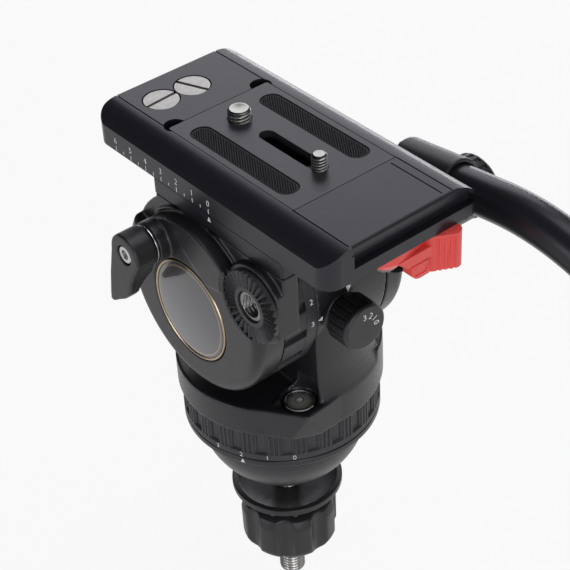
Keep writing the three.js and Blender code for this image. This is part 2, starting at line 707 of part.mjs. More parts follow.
// The bosses of the rosettes end flush with the flat rear of the cheeks
const bossRoom = block(-2 * blockHalf, 2 * blockHalf, blockRear, platformLength, 0, platformTop);
let leftCheek = leftDrum
  .add(prism(cheekUpper(drumRadius), 'x', -blockHalf, leftCheekInner))
  .add(rod('x', lockCentre, lock.bossRadius, -lock.bossReach, leftCheekInner))
  .add(rod('x', rosetteCentre, rosette.bossRadius, leftRosetteInner, leftCheekInner)
    .intersect(bossRoom))
  .subtract(topRoom);
const archShape = outline([
  ...arc(0, tiltAxisZ, drumRadius + overrun, arch.startAngle, arch.endAngle, roundSteps.arc),
  ...arc(0, tiltAxisZ, arch.inner, arch.endAngle, arch.startAngle, roundSteps.arc),
]);
const lockBore = { radius: 3.3, depth: 14 };
const insert = { radius: 6.4, bore: 4.76, depth: 10 };
leftCheek = leftCheek
  .subtract(prism(archShape, 'x', leftCheekOuter - overrun, -blockHalf)
    .subtract(rod('x', lockCentre, lock.bossRadius + gap, leftCheekOuter - 2 * overrun, leftCheekInner))
    .subtract(rod('x', rosetteCentre, rosette.bossRadius + gap, leftCheekOuter - 2 * overrun,
        leftCheekInner)))
  .subtract(rod('x', badgeCentre, badge.radius + gap, leftCheekOuter - overrun,
      leftCheekOuter + badge.recess, wide))
  .subtract(rod('x', lockCentre, lockBore.radius + gap, -lock.bossReach - overrun,
      -lock.bossReach + lockBore.depth))
  .subtract(rod('x', rosetteCentre, rosetteRadius + gap, leftCheekOuter - overrun, leftRosetteInner))
  .subtract(rod('x', rosetteCentre, insert.radius + gap, leftRosetteInner - overrun,
      leftRosetteInner + insert.depth))
  .subtract(rod('x', tiltCentre, axleRadius + gap, leftCheekInner - leftCheekWidth / 2,
      leftCheekInner + overrun))
  .subtract(rod('z', [blockScrewX.left, blockScrew.y, 0], blockScrew.radius + gap,
    cheekTop - leftCheekWidth / 2, cheekTop + overrun, coarse));
addPiece('left_cheek', leftCheek, 'castBlack');

// Right cheek: the mirror drum, narrower, with the rosette that carries the handle
const rightBossOuter = 42;
let rightCheek = turned([
  [0, rightCheekInner],
  [drumRadius, rightCheekInner],
  ...arc(drumRadius - cheek.fillet, rightCheekOuter - cheek.fillet, cheek.fillet, 0, 90, roundSteps.corner),
  [0, rightCheekOuter],
], 'x', tiltCentre)
  .add(prism(cheekUpper(drumRadius), 'x', rightCheekInner, rightCheekOuter))
  .add(rod('x', rosetteCentre, rosette.bossRadius, rightCheekInner, rightBossOuter)
    .intersect(bossRoom))
  .subtract(topRoom);
const rightAxleDepth = rightCheekWidth / 2;
rightCheek = rightCheek
  .subtract(rod('x', rosetteCentre, insert.radius + gap, rightBossOuter - insert.depth,
      rightBossOuter + overrun))
  .subtract(rod('x', tiltCentre, axleRadius + gap, rightCheekInner - overrun,
      rightCheekInner + rightAxleDepth))
  .subtract(rod('z', [blockScrewX.right, blockScrew.y, 0], blockScrew.radius + gap,
    cheekTop - leftCheekWidth / 2, cheekTop + overrun, coarse));
addPiece('right_cheek', rightCheek, 'castBlack');

addPiece('tilt_axle', rod('x', tiltCentre, axleRadius, leftCheekInner - leftCheekWidth / 2 + gap,
  rightCheekInner + rightAxleDepth - gap), 'brightSteel');

const badgeInner = leftCheekOuter + badge.recess - gap;
const badgeFace = badgeInner - badge.thickness;
addPiece('badge_plate', turned([
  [0, badgeFace - badge.dome],
  ...arc(0, 0, 1, 0, 90, roundSteps.corner).slice(1, -1).map(([c, s]) => [
    (badge.radius - badge.rimWidth - gap) * s,
    badgeFace - badge.dome * (1 - s * s),
  ]),
  [badge.radius - badge.rimWidth - gap, badgeFace],
  [badge.radius - badge.rimWidth - gap, badgeInner],
  [0, badgeInner],
], 'x', badgeCentre), 'badgeGrey');
addPiece('badge_rim', ring('x', badgeCentre, badge.radius - badge.rimWidth, badge.radius,
  badgeFace - gap, badgeInner, wide), 'goldRim');

// Rosettes: toothed discs with a threaded insert in each
function rosetteTeeth(side, faceX) {
  const spread = (rosette.toothShare * Math.PI) / rosette.teeth;
  let cutters = null;
  for (let i = 0; i < rosette.teeth; i += 1) {
    const angle = (i / rosette.teeth) * 2 * Math.PI;
    const points = [];
    for (const radius of [rosette.hubRadius, rosetteRadius + overrun]) {
      const depth = rosette.toothDepth;
      for (const [turn, x] of [[-spread, faceX + side * depth], [spread, faceX + side * depth],
        [0, faceX - side * depth]]) {
        points.push(new THREE.Vector3(
          x,
          rosetteY + radius * Math.cos(angle + turn),
          rosetteZ + radius * Math.sin(angle + turn),
        ));
      }
    }
    const cutter = solidOf(new ConvexGeometry(points));
    cutters = cutters === null ? cutter : cutters.add(cutter);
  }
  return cutters;
}
const leftRosetteBack = leftRosetteInner - gap;
const leftRosetteFace = leftRosetteBack - rosette.thickness;
const leftRosette = ring('x', rosetteCentre, insert.radius + gap, rosetteRadius, leftRosetteFace,
    leftRosetteBack)
  .subtract(rosetteTeeth(-1, leftRosetteFace));
addPiece('left_rosette', leftRosette, 'castBlack');
const rightRosetteBack = rightBossOuter + gap;
const rightRosetteFace = rightRosetteBack + rosette.thickness;
const rightRosette = ring('x', rosetteCentre, insert.radius + gap, rosetteRadius, rightRosetteBack,
    rightRosetteFace)
  .subtract(rosetteTeeth(1, rightRosetteFace));
addPiece('right_rosette', rightRosette, 'castBlack');
addPiece('left_thread_insert', ring('x', rosetteCentre, insert.bore, insert.radius,
  leftRosetteFace + gap, leftRosetteInner + insert.depth - gap), 'brightSteel');
addPiece('right_thread_insert', ring('x', rosetteCentre, insert.bore, insert.radius,
  rightBossOuter - insert.depth + gap, rightRosetteFace - gap), 'brightSteel');

// Tilt lock: lever, washer and socket screw on the left boss
const lockLever = { thickness: 10.4, length: 31.1, leanAngle: 15, tipRear: 8.05, tipRearRise: 9,
  heelRise: 3.4, tipFront: 6.75, tipFrontRise: 0.4, tipMid: 4.4, wrapStartAngle: -25, wrapEndAngle: 200 };
const washerOuter = -lock.bossReach - gap;
addPiece('tilt_lock_washer', ring('x', lockCentre, lockBore.radius + gap, lock.bossRadius - lock.washer,
  washerOuter - lock.washer, washerOuter), 'brightSteel');
const lockInner = washerOuter - lock.washer - gap;
const lockOuter = lockInner - lockLever.thickness;
const lockZ = lockCentre[2];
const lean = THREE.MathUtils.degToRad(lockLever.leanAngle);
const tipY = lock.y + lockLever.length * Math.sin(lean);
const tipZ = lockZ - lockLever.length * Math.cos(lean);
const tiltLever = prism(outline([
  ...arc(lock.y, lockZ, lock.bossRadius, lockLever.wrapStartAngle, lockLever.wrapEndAngle, roundSteps.nose),
  [tipY - lockLever.tipRear, tipZ + lockLever.tipRearRise],
  [tipY, tipZ + lockLever.heelRise],
  [tipY + lockLever.tipMid, tipZ],
  [tipY + lockLever.tipFront, tipZ + lockLever.tipFrontRise],
]), 'x', lockOuter, lockInner);
const lockScrew = { headRadius: 3.9, headDepth: 3.6, hex: 4, hexDepth: 2 };
addPiece('tilt_lock_lever', tiltLever
  .subtract(rod('x', lockCentre, lockBore.radius + gap, lockOuter - overrun, lockInner + overrun))
  .subtract(rod('x', lockCentre, lockScrew.headRadius + gap, lockOuter - overrun,
    lockOuter + lockScrew.headDepth)), 'mouldedBlack');
addPiece('tilt_lock_screw', rod('x', lockCentre, lockBore.radius, lockOuter + gap,
  -lock.bossReach + lockBore.depth - gap, coarse)
  .add(rod('x', lockCentre, lockScrew.headRadius, lockOuter + gap, lockOuter + lockScrew.headDepth - gap,
      coarse))
  .subtract(hexSocket('x', lockCentre, lockScrew.hex, lockOuter - overrun,
    lockOuter + gap + lockScrew.hexDepth)), 'brightSteel');

// Screws that hold the cheeks under the block
for (const [side, x] of Object.entries(blockScrewX)) {
  const top = blockTop - gap;
  const screw = rod('z', [x, blockScrew.y, 0], blockScrew.radius, cheekTop - leftCheekWidth / 2 + gap,
      top, coarse)
    .add(rod('z', [x, blockScrew.y, 0], blockScrew.headRadius, top - blockScrew.headDepth + gap, top,
        coarse));
  addPiece(`${side}_cheek_screw`, screw, 'darkSteel');
}

// Sliding platform: rounded shoulders, flat bed, pocket for the camera plate, channel below

const platformCorner = { left: 7, right: 2.5, front: 7 };
const rearWall = 4.4; // closes the channel behind the tongue
const bedHalf = 25.3;
const shoulderRadius = 14.65; // the shoulders curve down from the bed and end at a sharp edge
const plateShare = { rear: 0.2228, length: 0.5341 }; // along the platform
const plate = {
  width: 49.9,
  length: platformLength * plateShare.length,
  rear: platformRear + platformLength * plateShare.rear,
  thickness: 8,
  corner: 1,
};
function alongPlate(share) {
  return plate.rear + plate.length * share;
}
const pocketDepth = plate.thickness + gap;
const platformFront = platformRear + platformLength;
const half = platformWidth / 2;
const shoulderSteps = 6;
const shoulderPoints = [];
for (let i = 0; i <= shoulderSteps; i += 1) {
  const angle = Math.asin((half - bedHalf) / shoulderRadius) * (i / shoulderSteps);
  shoulderPoints.push([
    bedHalf + shoulderRadius * Math.sin(angle),
    platformTop - shoulderRadius * (1 - Math.cos(angle)),
  ]);
}
const channelRoof = tongueTop + gap;
const section = outline([
  [-half, platformBottom],
  [half, platformBottom],
  ...[...shoulderPoints].reverse(),
  ...shoulderPoints.map(([x, z]) => [-x, z]),
]);
const plan = outline([
  ...arc(platformCorner.left - half, platformRear + platformCorner.left, platformCorner.left,
    180, 270, roundSteps.edge),
  ...arc(half - platformCorner.right, platformRear + platformCorner.right, platformCorner.right,
    -90, 0, roundSteps.corner),
  ...arc(half - platformCorner.front, platformFront - platformCorner.front, platformCorner.front,
    0, 90, roundSteps.edge),
  ...arc(platformCorner.front - half, platformFront - platformCorner.front, platformCorner.front,
    90, 180, roundSteps.edge),
]);
const neckHalf = tongue.neckWidth / 2 + 2 * gap;
const topHalf = tongue.topWidth / 2 + 2 * gap;
const channelSection = outline([
  [-neckHalf, platformBottom - overrun],
  [neckHalf, platformBottom - overrun],
  [neckHalf, platformBottom],
  [topHalf, channelRoof],
  [-topHalf, channelRoof],
  [-neckHalf, platformBottom],
]);
const rearLip = { drop: 2.6, recess: 3.2, floor: 5.3, left: -24, right: 32 };
const lipZ = platformTop - rearLip.drop;
const recessFloor = platformBottom + rearLip.floor;
let platformSolid = prism(section, 'y', platformRear, platformFront)
  .intersect(prism(plan, 'z', platformBottom, platformTop))
  .subtract(prism(channelSection, 'y', platformRear + rearWall, platformFront + overrun))
  .subtract(prism(roundedRect(-plate.width / 2 - gap, plate.rear - gap, plate.width / 2 + gap,
    plate.rear + plate.length + gap, plate.corner), 'z', platformTop - pocketDepth, platformTop + overrun,
  roundSteps.corner))
  .subtract(block(rearLip.left, rearLip.right, platformRear - overrun, platformRear + rearLip.recess,
    recessFloor, lipZ));
// Round reliefs at the front corners of the pocket
const relief = { radius: 4.6, inset: 3.2 };
for (const side of [-1, 1]) {
  const centre = [side * (plate.width / 2 - relief.inset), plate.rear + plate.length, 0];
  platformSolid = platformSolid
    .subtract(rod('z', centre, relief.radius, platformTop - pocketDepth, platformTop + overrun, coarse));
}
// Clamp jaw beside the plate, on the right
const jawShare = { middle: 0.504, length: 0.526 }; // along the plate
const jaw = {
  width: 6,
  length: plate.length * jawShare.length,
  travel: 1.6,
  y: alongPlate(jawShare.middle),
  depth: 4.6,
};
const jawInner = plate.width / 2 + gap;
const jawFloor = platformTop - pocketDepth;
const jawLow = jawFloor + gap;
const jawHigh = jawLow + jaw.depth;
platformSolid = platformSolid
  .subtract(block(jawInner - overrun, jawInner + jaw.width + jaw.travel + gap, jaw.y - jaw.length / 2 - gap,
    jaw.y + jaw.length / 2 + gap, jawFloor, jawHigh + gap));
// Storage for the two spare screws at the front of the bed
const spareInset = 15.3;
const spare = { radius: 7.65, slot: 1.5, slotDepth: 1.1, headHeight: 3, y: platformFront - spareInset };
const spareAngle = { quarter: 4, three_eighths: -68 };
const spareX = { quarter: -14.1, three_eighths: 1.5 };
const spareThread = { quarter: 3.175, three_eighths: 4.76 };
const spareLength = 5.4;
for (const [size, x] of Object.entries(spareX)) {
  const centre = [x, spare.y, 0];
  platformSolid = platformSolid
    .subtract(rod('z', centre, spare.radius + gap, platformTop - spare.headHeight - gap,
        platformTop + overrun))
    .subtract(rod('z', centre, spareThread[size] + gap,
      platformTop - spare.headHeight - spareLength - gap, platformTop, coarse));
}
const releasePivot = { x: -0.5, fromRear: 10, radius: 2.5, headRadius: 3.9, headHeight: 2 };
const releaseY = platformRear + releasePivot.fromRear;
const releaseCentre = [releasePivot.x, releaseY, 0];
const leverTop = platformBottom - gap;
platformSolid = platformSolid
  .subtract(rod('z', releaseCentre, releasePivot.radius + gap, leverTop - overrun,
      platformTop - pocketDepth - gap,
    coarse));
addPiece('sliding_platform', platformSolid, 'anodised');

addPiece('plate_clamp_jaw', block(jawInner + gap / 2, jawInner + jaw.width, jaw.y - jaw.length / 2,
  jaw.y + jaw.length / 2, jawLow, jawHigh), 'brightSteel');

for (const [size, x] of Object.entries(spareX)) {
  const centre = [x, spare.y, 0];
  const slotBar = block(-spare.radius - overrun, spare.radius + overrun, -spare.slot / 2, spare.slot / 2,
    platformTop - spare.slotDepth, platformTop + overrun)
    .rotate([0, 0, spareAngle[size]])
    .translate([x, spare.y, 0]);
  const screw = rod('z', centre, spare.radius, platformTop - spare.headHeight, platformTop - gap / 2)
    .add(rod('z', centre, spareThread[size], platformTop - spare.headHeight - spareLength,
        platformTop - gap,
      coarse))
    .subtract(slotBar);
  addPiece(`spare_${size}_screw`, screw, 'brightSteel');
}

// Camera plate: two rubber pads, a quarter-inch screw in a slot and a three-eighths screw

const plateShares = { slotRear: 0.146, slotFront: 0.641, padRear: 0.112, padFront: 0.899, threadY: 0.8197 };
const slot = {
  halfWidth: 3.4,
  rear: alongPlate(plateShares.slotRear),
  front: alongPlate(plateShares.slotFront),
  underHalf: 8.4,
  underDepth: 4.6,
};
const guide = { thickness: 1.2, half: 7.8 };
const pad = {
  x: 17.4,
  halfWidth: 4.6,
  rear: alongPlate(plateShares.padRear),
  front: alongPlate(plateShares.padFront),
  depth: 1,
  stand: 0.3,
};
const quarterThread = { radius: 3.175, stand: 6.2 };
const threeThread = { radius: 4.76, stand: 4.6, y: alongPlate(plateShares.threadY) };
const cameraScrew = { headRadius: 7.4, headHeight: 2.4 };
const plateBottom = platformTop - plate.thickness;
const quarterY = slot.rear + slot.halfWidth;
let cameraPlate = prism(roundedRect(-plate.width / 2, plate.rear, plate.width / 2,
    plate.rear + plate.length,
  plate.corner), 'z', plateBottom, platformTop, roundSteps.corner)
  .subtract(prism(roundedRect(-slot.halfWidth, slot.rear, slot.halfWidth, slot.front,
      slot.halfWidth - gap / 2), 'z',
    plateBottom - overrun, platformTop + overrun, roundSteps.edge))
  .subtract(block(-slot.underHalf, slot.underHalf, slot.rear - slot.underHalf,
      slot.front + slot.underHalf - overrun / 2,
    plateBottom - overrun, plateBottom + slot.underDepth))
  .subtract(rod('z', [0, threeThread.y + gap, 0], threeThread.radius + gap, plateBottom - overrun,
    platformTop + overrun))
  .subtract(rod('z', [0, threeThread.y + gap, 0], cameraScrew.headRadius + gap, plateBottom - overrun,
    plateBottom + slot.underDepth));
for (const side of [-1, 1]) {
  const left = side * pad.x - pad.halfWidth;
  const right = side * pad.x + pad.halfWidth;
  cameraPlate = cameraPlate
    .subtract(prism(roundedRect(left - gap, pad.rear - gap, right + gap, pad.front + gap, pad.halfWidth),
      'z', platformTop - pad.depth - gap, platformTop + overrun, roundSteps.edge));
  const padSolid = prism(roundedRect(left, pad.rear, right, pad.front, pad.halfWidth - gap), 'z',
    platformTop - pad.depth, platformTop + pad.stand, roundSteps.edge);
  addPiece(side < 0 ? 'left_plate_pad' : 'right_plate_pad', padSolid, 'rubber');
}
addPiece('camera_plate', cameraPlate, 'anodised');

function cameraScrewSolid(y, threadRadius, stand) {
  const centre = [0, y, 0];
  const headTop = plateBottom + gap + cameraScrew.headHeight;
  return rod('z', centre, cameraScrew.headRadius, headTop - cameraScrew.headHeight, headTop)
    .add(rod('z', centre, threadRadius, headTop - gap, platformTop + stand))
    .subtract(block(-cameraScrew.headRadius - overrun, cameraScrew.headRadius + overrun, y - spare.slot / 2,
      y + spare.slot / 2, plateBottom - overrun, plateBottom + gap + spare.slotDepth));
}
const guideLow = plateBottom + 2 * gap + cameraScrew.headHeight;
addPiece('screw_guide', block(-guide.half, guide.half, quarterY - guide.half, quarterY + guide.half,
    guideLow,
  guideLow + guide.thickness)
  .subtract(rod('z', [0, quarterY, 0], quarterThread.radius + gap, guideLow - overrun, guideLow + overrun)),
'darkSteel');
addPiece('quarter_inch_screw', cameraScrewSolid(quarterY, quarterThread.radius, quarterThread.stand),
  'brightSteel');
addPiece('three_eighths_screw', cameraScrewSolid(threeThread.y + gap, threeThread.radius,
    threeThread.stand),
  'brightSteel');

// Release lever: red arm under the rear of the platform, with a safety catch and two pins

const release = {
  hubRadius: 9,
  coreRadius: 6,
  flange: 4.6,
  armHeight: 8.6,
  armFront: -66,
  webLeft: 1,
  webRear: -77.4,
  gripAngle: -29,
  gripX: 16.9,
  gripY: -74.7,
  gripLength: 8,
  gripRadius: 3.6,
  gripDrop: 16.1,
  ribs: 4,
  ribDepth: 0.7,
  ribWidth: 0.8,
  ribShare: 0.9,
};
const flangeRear = [[7.1, -75.7], [14.4, -73.9]]; // rear edge of the flange between hub and grip
const armLow = leverTop - release.armHeight;
const flangeLow = leverTop - release.flange;
const gripLow = leverTop - release.gripDrop;
// The grip is a round-ended bar, drawn along X and turned about its inner end
function gripPlace(solid) {
  return solid
    .rotate([0, 0, release.gripAngle])
    .translate([release.gripX, release.gripY, 0]);
}
let gripBar = prism(outline([
  ...arc(release.gripLength, 0, release.gripRadius, -90, 90, roundSteps.edge),
  ...arc(0, 0, release.gripRadius, 90, 270, roundSteps.edge),
]), 'z', gripLow, leverTop);
const ribPitch = (release.gripLength * release.ribShare) / release.ribs;
for (let i = 0; i < release.ribs; i += 1) {
  const x = ribPitch * (i + 1);
  gripBar = gripBar
    .subtract(block(x - release.ribWidth / 2, x + release.ribWidth / 2, -release.gripRadius - overrun,
      -release.gripRadius + release.ribDepth, gripLow - overrun, leverTop - overrun));
}
const flangePlan = outline([
  ...arc(releasePivot.x, releaseY, release.hubRadius, 60, 280, roundSteps.nose),
  ...flangeRear,
  [release.gripX, release.gripY],
  [release.gripX, release.armFront],
]);
const webPlan = outline([
  [release.webLeft, release.webRear],
  [release.gripX - release.gripRadius / 2, release.webRear],
  [release.gripX, release.gripY],
  [release.gripX, release.armFront],
  [release.webLeft, releaseY + release.coreRadius - gap],
]);
let releaseLever = prism(flangePlan, 'z', flangeLow, leverTop)
  .add(rod('z', releaseCentre, release.coreRadius, armLow, flangeLow + overrun))
  .add(prism(webPlan, 'z', armLow, flangeLow + overrun))
  .add(gripPlace(gripBar));
const safety = { left: 4.1, right: 13, rear: -77.9, front: -72.6, pinX: 8, travel: 3 };
const safetyTop = armLow - gap;
// Lower edge, as heights above the grip's end
const safetyEdge = [[4.1, 3.1], [6.2, 1], [8.2, 0.5], [13, 0.6]];
const safetyLow = gripLow;
const catchPin = { radius: 1.2, head: 2 };
const catchY = (safety.rear + safety.front) / 2;
const catchCentre = [safety.pinX, catchY, 0];
releaseLever = releaseLever
  .subtract(rod('z', releaseCentre, releasePivot.radius + gap, armLow - overrun, leverTop + overrun,
      coarse))
  .subtract(rod('z', catchCentre, catchPin.radius + gap, armLow - overrun, flangeLow, coarse));
addPiece('release_lever', releaseLever, 'redPlastic');
addPiece('release_pivot', rod('z', releaseCentre, releasePivot.radius, armLow - gap,
  platformTop - pocketDepth - 2 * gap, coarse)
  .add(rod('z', releaseCentre, releasePivot.headRadius, armLow - gap - releasePivot.headHeight,
      armLow - gap,
    coarse)), 'brightSteel');
const catchSolid = prism(outline([
  [safety.left, safetyTop],
  ...safetyEdge.map(([x, rise]) => [x, safetyLow + rise]),
  [safety.right, safetyTop],
]), 'y', safety.rear, safety.front)
  .subtract(prism(roundedRect(safety.pinX - catchPin.radius - gap, catchY - catchPin.radius - gap,
    safety.pinX + catchPin.radius + gap + safety.travel, catchY + catchPin.radius + gap, catchPin.radius),
  'z', safetyLow - overrun, safetyTop + overrun, roundSteps.corner));
addPiece('release_catch', catchSolid, 'redPlastic');
addPiece('catch_pin', rod('z', catchCentre, catchPin.radius, safetyLow + catchPin.head, flangeLow - gap,
  coarse), 'brightSteel');

// Slide lock lever on the right of the block
const slideLock = { y: -45, radius: 3, length: 26.2, thickness: 3.2, tipRadius: 1.8, hook: 1.35 };
const slideLockCentre = [0, slideLock.y, (blockBottom + blockTop) / 2];
const slideLockShaft = { radius: 2, depth: 8 };
topBlock = topBlock
  .subtract(rod('x', slideLockCentre, slideLockShaft.radius + gap, blockHalf - slideLockShaft.depth - gap,
    blockHalf + overrun, coarse));
addPiece('top_block', topBlock, 'anodised');
const slideLockInner = blockHalf + gap;
const slideLockZ = slideLockCentre[2];
const slideTipY = slideLock.y - slideLock.length;
addPiece('slide_lock_lever', prism(outline([
  ...arc(slideLock.y, slideLockZ, slideLock.radius, 90, -90, roundSteps.edge),
  [slideTipY + 2 * slideLock.tipRadius, slideLockZ - slideLock.radius / 2],
  ...arc(slideTipY, slideLockZ - slideLock.hook, slideLock.tipRadius, 0, -180, roundSteps.edge),
  [slideTipY - slideLock.tipRadius, slideLockZ + slideLock.radius / 2],
]), 'x', slideLockInner, slideLockInner + slideLock.thickness)
  .add(rod('x', slideLockCentre, slideLockShaft.radius, blockHalf - slideLockShaft.depth,
      slideLockInner + overrun,
    coarse)), 'mouldedBlack');

// Handle: toothed clamp with its barrel, clamp bolt and knob, bent bar, grip and end cap

const boltRadius = 3.2;
const bar = { x: 56.5, radius: 8.7, riseAngle: 7.5, bendRadius: 115, bendAngle: 45, straight: 21, length: 400 };
const barRaise = bar.radius + boltRadius + gap; // the bar passes over the clamp bolt
const barrel = { radius: 11, front: 18, rear: 13, wall: 3 };
const clampFace = rightRosetteFace + gap;
const clampRosette = { thickness: 4, neckRadius: 12.4 };
const knobInner = bar.x + barrel.radius + gap;
const barCentre = [bar.x, 0, barRaise];

// The handle is built along Y through the rosette axis, then turned up by its rise
function handlePlace(solid) {
  return solid
    .rotate([-bar.riseAngle, 0, 0])
    .translate([0, rosetteY, rosetteZ]);
}
const boltBottom = rightBossOuter - insert.depth + gap;
const clampDisc = rod('x', origin, rosetteRadius, clampFace, clampFace + clampRosette.thickness)
  .add(rod('x', origin, clampRosette.neckRadius, clampFace, bar.x));
const barrelSolid = rod('y', barCentre, barrel.radius, -barrel.rear, barrel.front);
const clampBody = clampDisc
  .add(barrelSolid)
  .add(rod('x', origin, clampRosette.neckRadius, bar.x, knobInner - gap))
  .subtract(rod('y', barCentre, bar.radius + gap, -barrel.rear - overrun, barrel.front - barrel.wall))
  .subtract(rod('x', origin, boltRadius + gap, clampFace - overrun, knobInner + overrun, coarse));
addPiece('handle_clamp', handlePlace(clampBody), 'mouldedBlack');
const clampKnob = {
  radius: 13,
  rim: 9.7,
  crownRadius: 9,
  height: 12.7,
  flutes: 16,
  fluteRadius: 1.2,
  edge: 1.3,
  facets: 32,
};
let clampKnobSolid = turned([
  [0, knobInner],
  [clampKnob.radius - clampKnob.edge, knobInner],
  [clampKnob.radius, knobInner + clampKnob.edge],
  [clampKnob.radius, knobInner + clampKnob.rim],
  [clampKnob.crownRadius, knobInner + clampKnob.height],
  [0, knobInner + clampKnob.height],
], 'x', origin, clampKnob.facets);
for (let i = 0; i < clampKnob.flutes; i += 1) {
  const angle = (i / clampKnob.flutes) * 2 * Math.PI;
  const centre = [0, clampKnob.radius * Math.cos(angle), clampKnob.radius * Math.sin(angle)];
  clampKnobSolid = clampKnobSolid
    .subtract(rod('x', centre, clampKnob.fluteRadius, knobInner + clampKnob.edge,
      knobInner + clampKnob.rim - clampKnob.edge, flute));
}
const boltHead = knobInner + clampKnob.height / 2;
clampKnobSolid = clampKnobSolid
  .subtract(rod('x', origin, boltRadius + gap, knobInner - overrun, boltHead + gap, coarse));
addPiece('handle_knob', handlePlace(clampKnobSolid), 'mouldedBlack');
addPiece('handle_bolt', handlePlace(rod('x', origin, boltRadius, boltBottom, boltHead, coarse)),
    'darkSteel');

// Route of the bar in its own plane: straight out of the barrel, one bend down, then straight
const barStart = barrel.front - barrel.wall - gap;
const bendStart = -barrel.rear - bar.straight;
const straightLength = barStart - bendStart;
const bendAngle = THREE.MathUtils.degToRad(bar.bendAngle);
const bendLength = bar.bendRadius * bendAngle;
const tailLength = bar.length - straightLength - bendLength;
const bendSteps = 9;
const tailDirection = new THREE.Vector3(0, -Math.cos(bendAngle), -Math.sin(bendAngle));
const route = [new THREE.Vector3(bar.x, barStart, barRaise)];
for (let i = 0; i <= bendSteps; i += 1) {
  const angle = (bendAngle * i) / bendSteps;
  route.push(new THREE.Vector3(
    bar.x,
    bendStart - bar.bendRadius * Math.sin(angle),
    barRaise - bar.bendRadius * (1 - Math.cos(angle)),
  ));
}
const tailStart = route[route.length - 1];
const tailEnd = tailStart.clone().addScaledVector(tailDirection, tailLength);
route.push(tailEnd);

// A tube of given radius through the points, with square sections across its path
function pipe(points, radius, sides) {
  const position = [];
  const across = new THREE.Vector3(1, 0, 0);
  for (let i = 0; i < points.length; i += 1) {
    const before = points[Math.max(i - 1, 0)];
    const after = points[Math.min(i + 1, points.length - 1)];
    const along = after.clone().sub(before).normalize();
    const up = along.clone().cross(across).normalize();
    for (let k = 0; k < sides; k += 1) {
      const angle = (2 * Math.PI * k) / sides;
      const point = points[i].clone()
        .addScaledVector(across, radius * Math.cos(angle))
        .addScaledVector(up, radius * Math.sin(angle));
      position.push(point.x, point.y, point.z);
    }
  }
  const index = [];
  for (let i = 0; i + 1 < points.length; i += 1) {
    for (let k = 0; k < sides; k += 1) {
      const a = i * sides + k;
      const b = i * sides + ((k + 1) % sides);
      index.push(a, b, a + sides, b, b + sides, a + sides);
    }
  }
  const last = (points.length - 1) * sides;
  for (let k = 1; k + 1 < sides; k += 1) {
    index.push(0, k + 1, k, last, last + k, last + k + 1);
  }
  const geometry = new THREE.BufferGeometry();
  geometry.setAttribute('position', new THREE.Float32BufferAttribute(position, 3));
  geometry.setIndex(index);
  return solidOf(geometry);
}
addPiece('pan_bar', handlePlace(pipe(route, bar.radius, fine)), 'anodised');

const grip = { radius: 14, length: 128, endGap: 5, taper: 2 };
const gripEnd = tailStart.clone().addScaledVector(tailDirection, tailLength - grip.endGap);
const gripStart = gripEnd.clone().addScaledVector(tailDirection, -grip.length);
const gripNear = gripStart.clone().addScaledVector(tailDirection, grip.taper);
const gripFar = gripEnd.clone().addScaledVector(tailDirection, -grip.taper);
const boreStart = gripStart.clone().addScaledVector(tailDirection, -overrun);
const boreEnd = gripEnd.clone().addScaledVector(tailDirection, overrun);
const gripSolid = pipe([gripStart, gripEnd], grip.radius - grip.taper, fine)
  .add(pipe([gripNear, gripFar], grip.radius, fine))
  .subtract(pipe([boreStart, boreEnd], bar.radius + gap, fine));
addPiece('handle_grip', handlePlace(gripSolid), 'foam');
const cap = { radius: 12.5, length: 7, sleeve: 4 };
const capStart = gripEnd.clone().addScaledVector(tailDirection, gap);
const capEnd = capStart.clone().addScaledVector(tailDirection, cap.length + cap.sleeve);
const capCavity = tailEnd.clone().addScaledVector(tailDirection, gap);
const capSolid = pipe([capStart, capEnd], cap.radius, fine)
  .subtract(pipe([gripEnd, capCavity], bar.radius + gap, fine));
addPiece('handle_end_cap', handlePlace(capSolid), 'mouldedBlack');

export default head;
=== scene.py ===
import json
import math
from contextlib import contextmanager

import bmesh
import bpy
from mathutils import Matrix, Vector


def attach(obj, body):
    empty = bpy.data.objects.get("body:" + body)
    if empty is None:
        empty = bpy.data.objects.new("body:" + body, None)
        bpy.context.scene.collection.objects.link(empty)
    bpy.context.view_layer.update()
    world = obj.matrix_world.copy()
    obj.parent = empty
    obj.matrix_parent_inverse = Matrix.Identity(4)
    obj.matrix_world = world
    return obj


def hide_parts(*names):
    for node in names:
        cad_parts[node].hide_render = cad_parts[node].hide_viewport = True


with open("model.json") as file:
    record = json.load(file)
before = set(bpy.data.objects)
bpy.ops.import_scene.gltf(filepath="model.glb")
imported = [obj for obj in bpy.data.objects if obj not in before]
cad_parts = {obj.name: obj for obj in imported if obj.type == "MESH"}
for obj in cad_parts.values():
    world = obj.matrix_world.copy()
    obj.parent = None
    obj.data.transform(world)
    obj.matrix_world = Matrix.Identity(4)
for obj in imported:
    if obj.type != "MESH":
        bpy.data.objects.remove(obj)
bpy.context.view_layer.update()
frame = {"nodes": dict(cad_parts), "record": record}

nodes = frame["nodes"]
scene = bpy.context.scene
MM = 0.001
TURN = 2 * math.pi

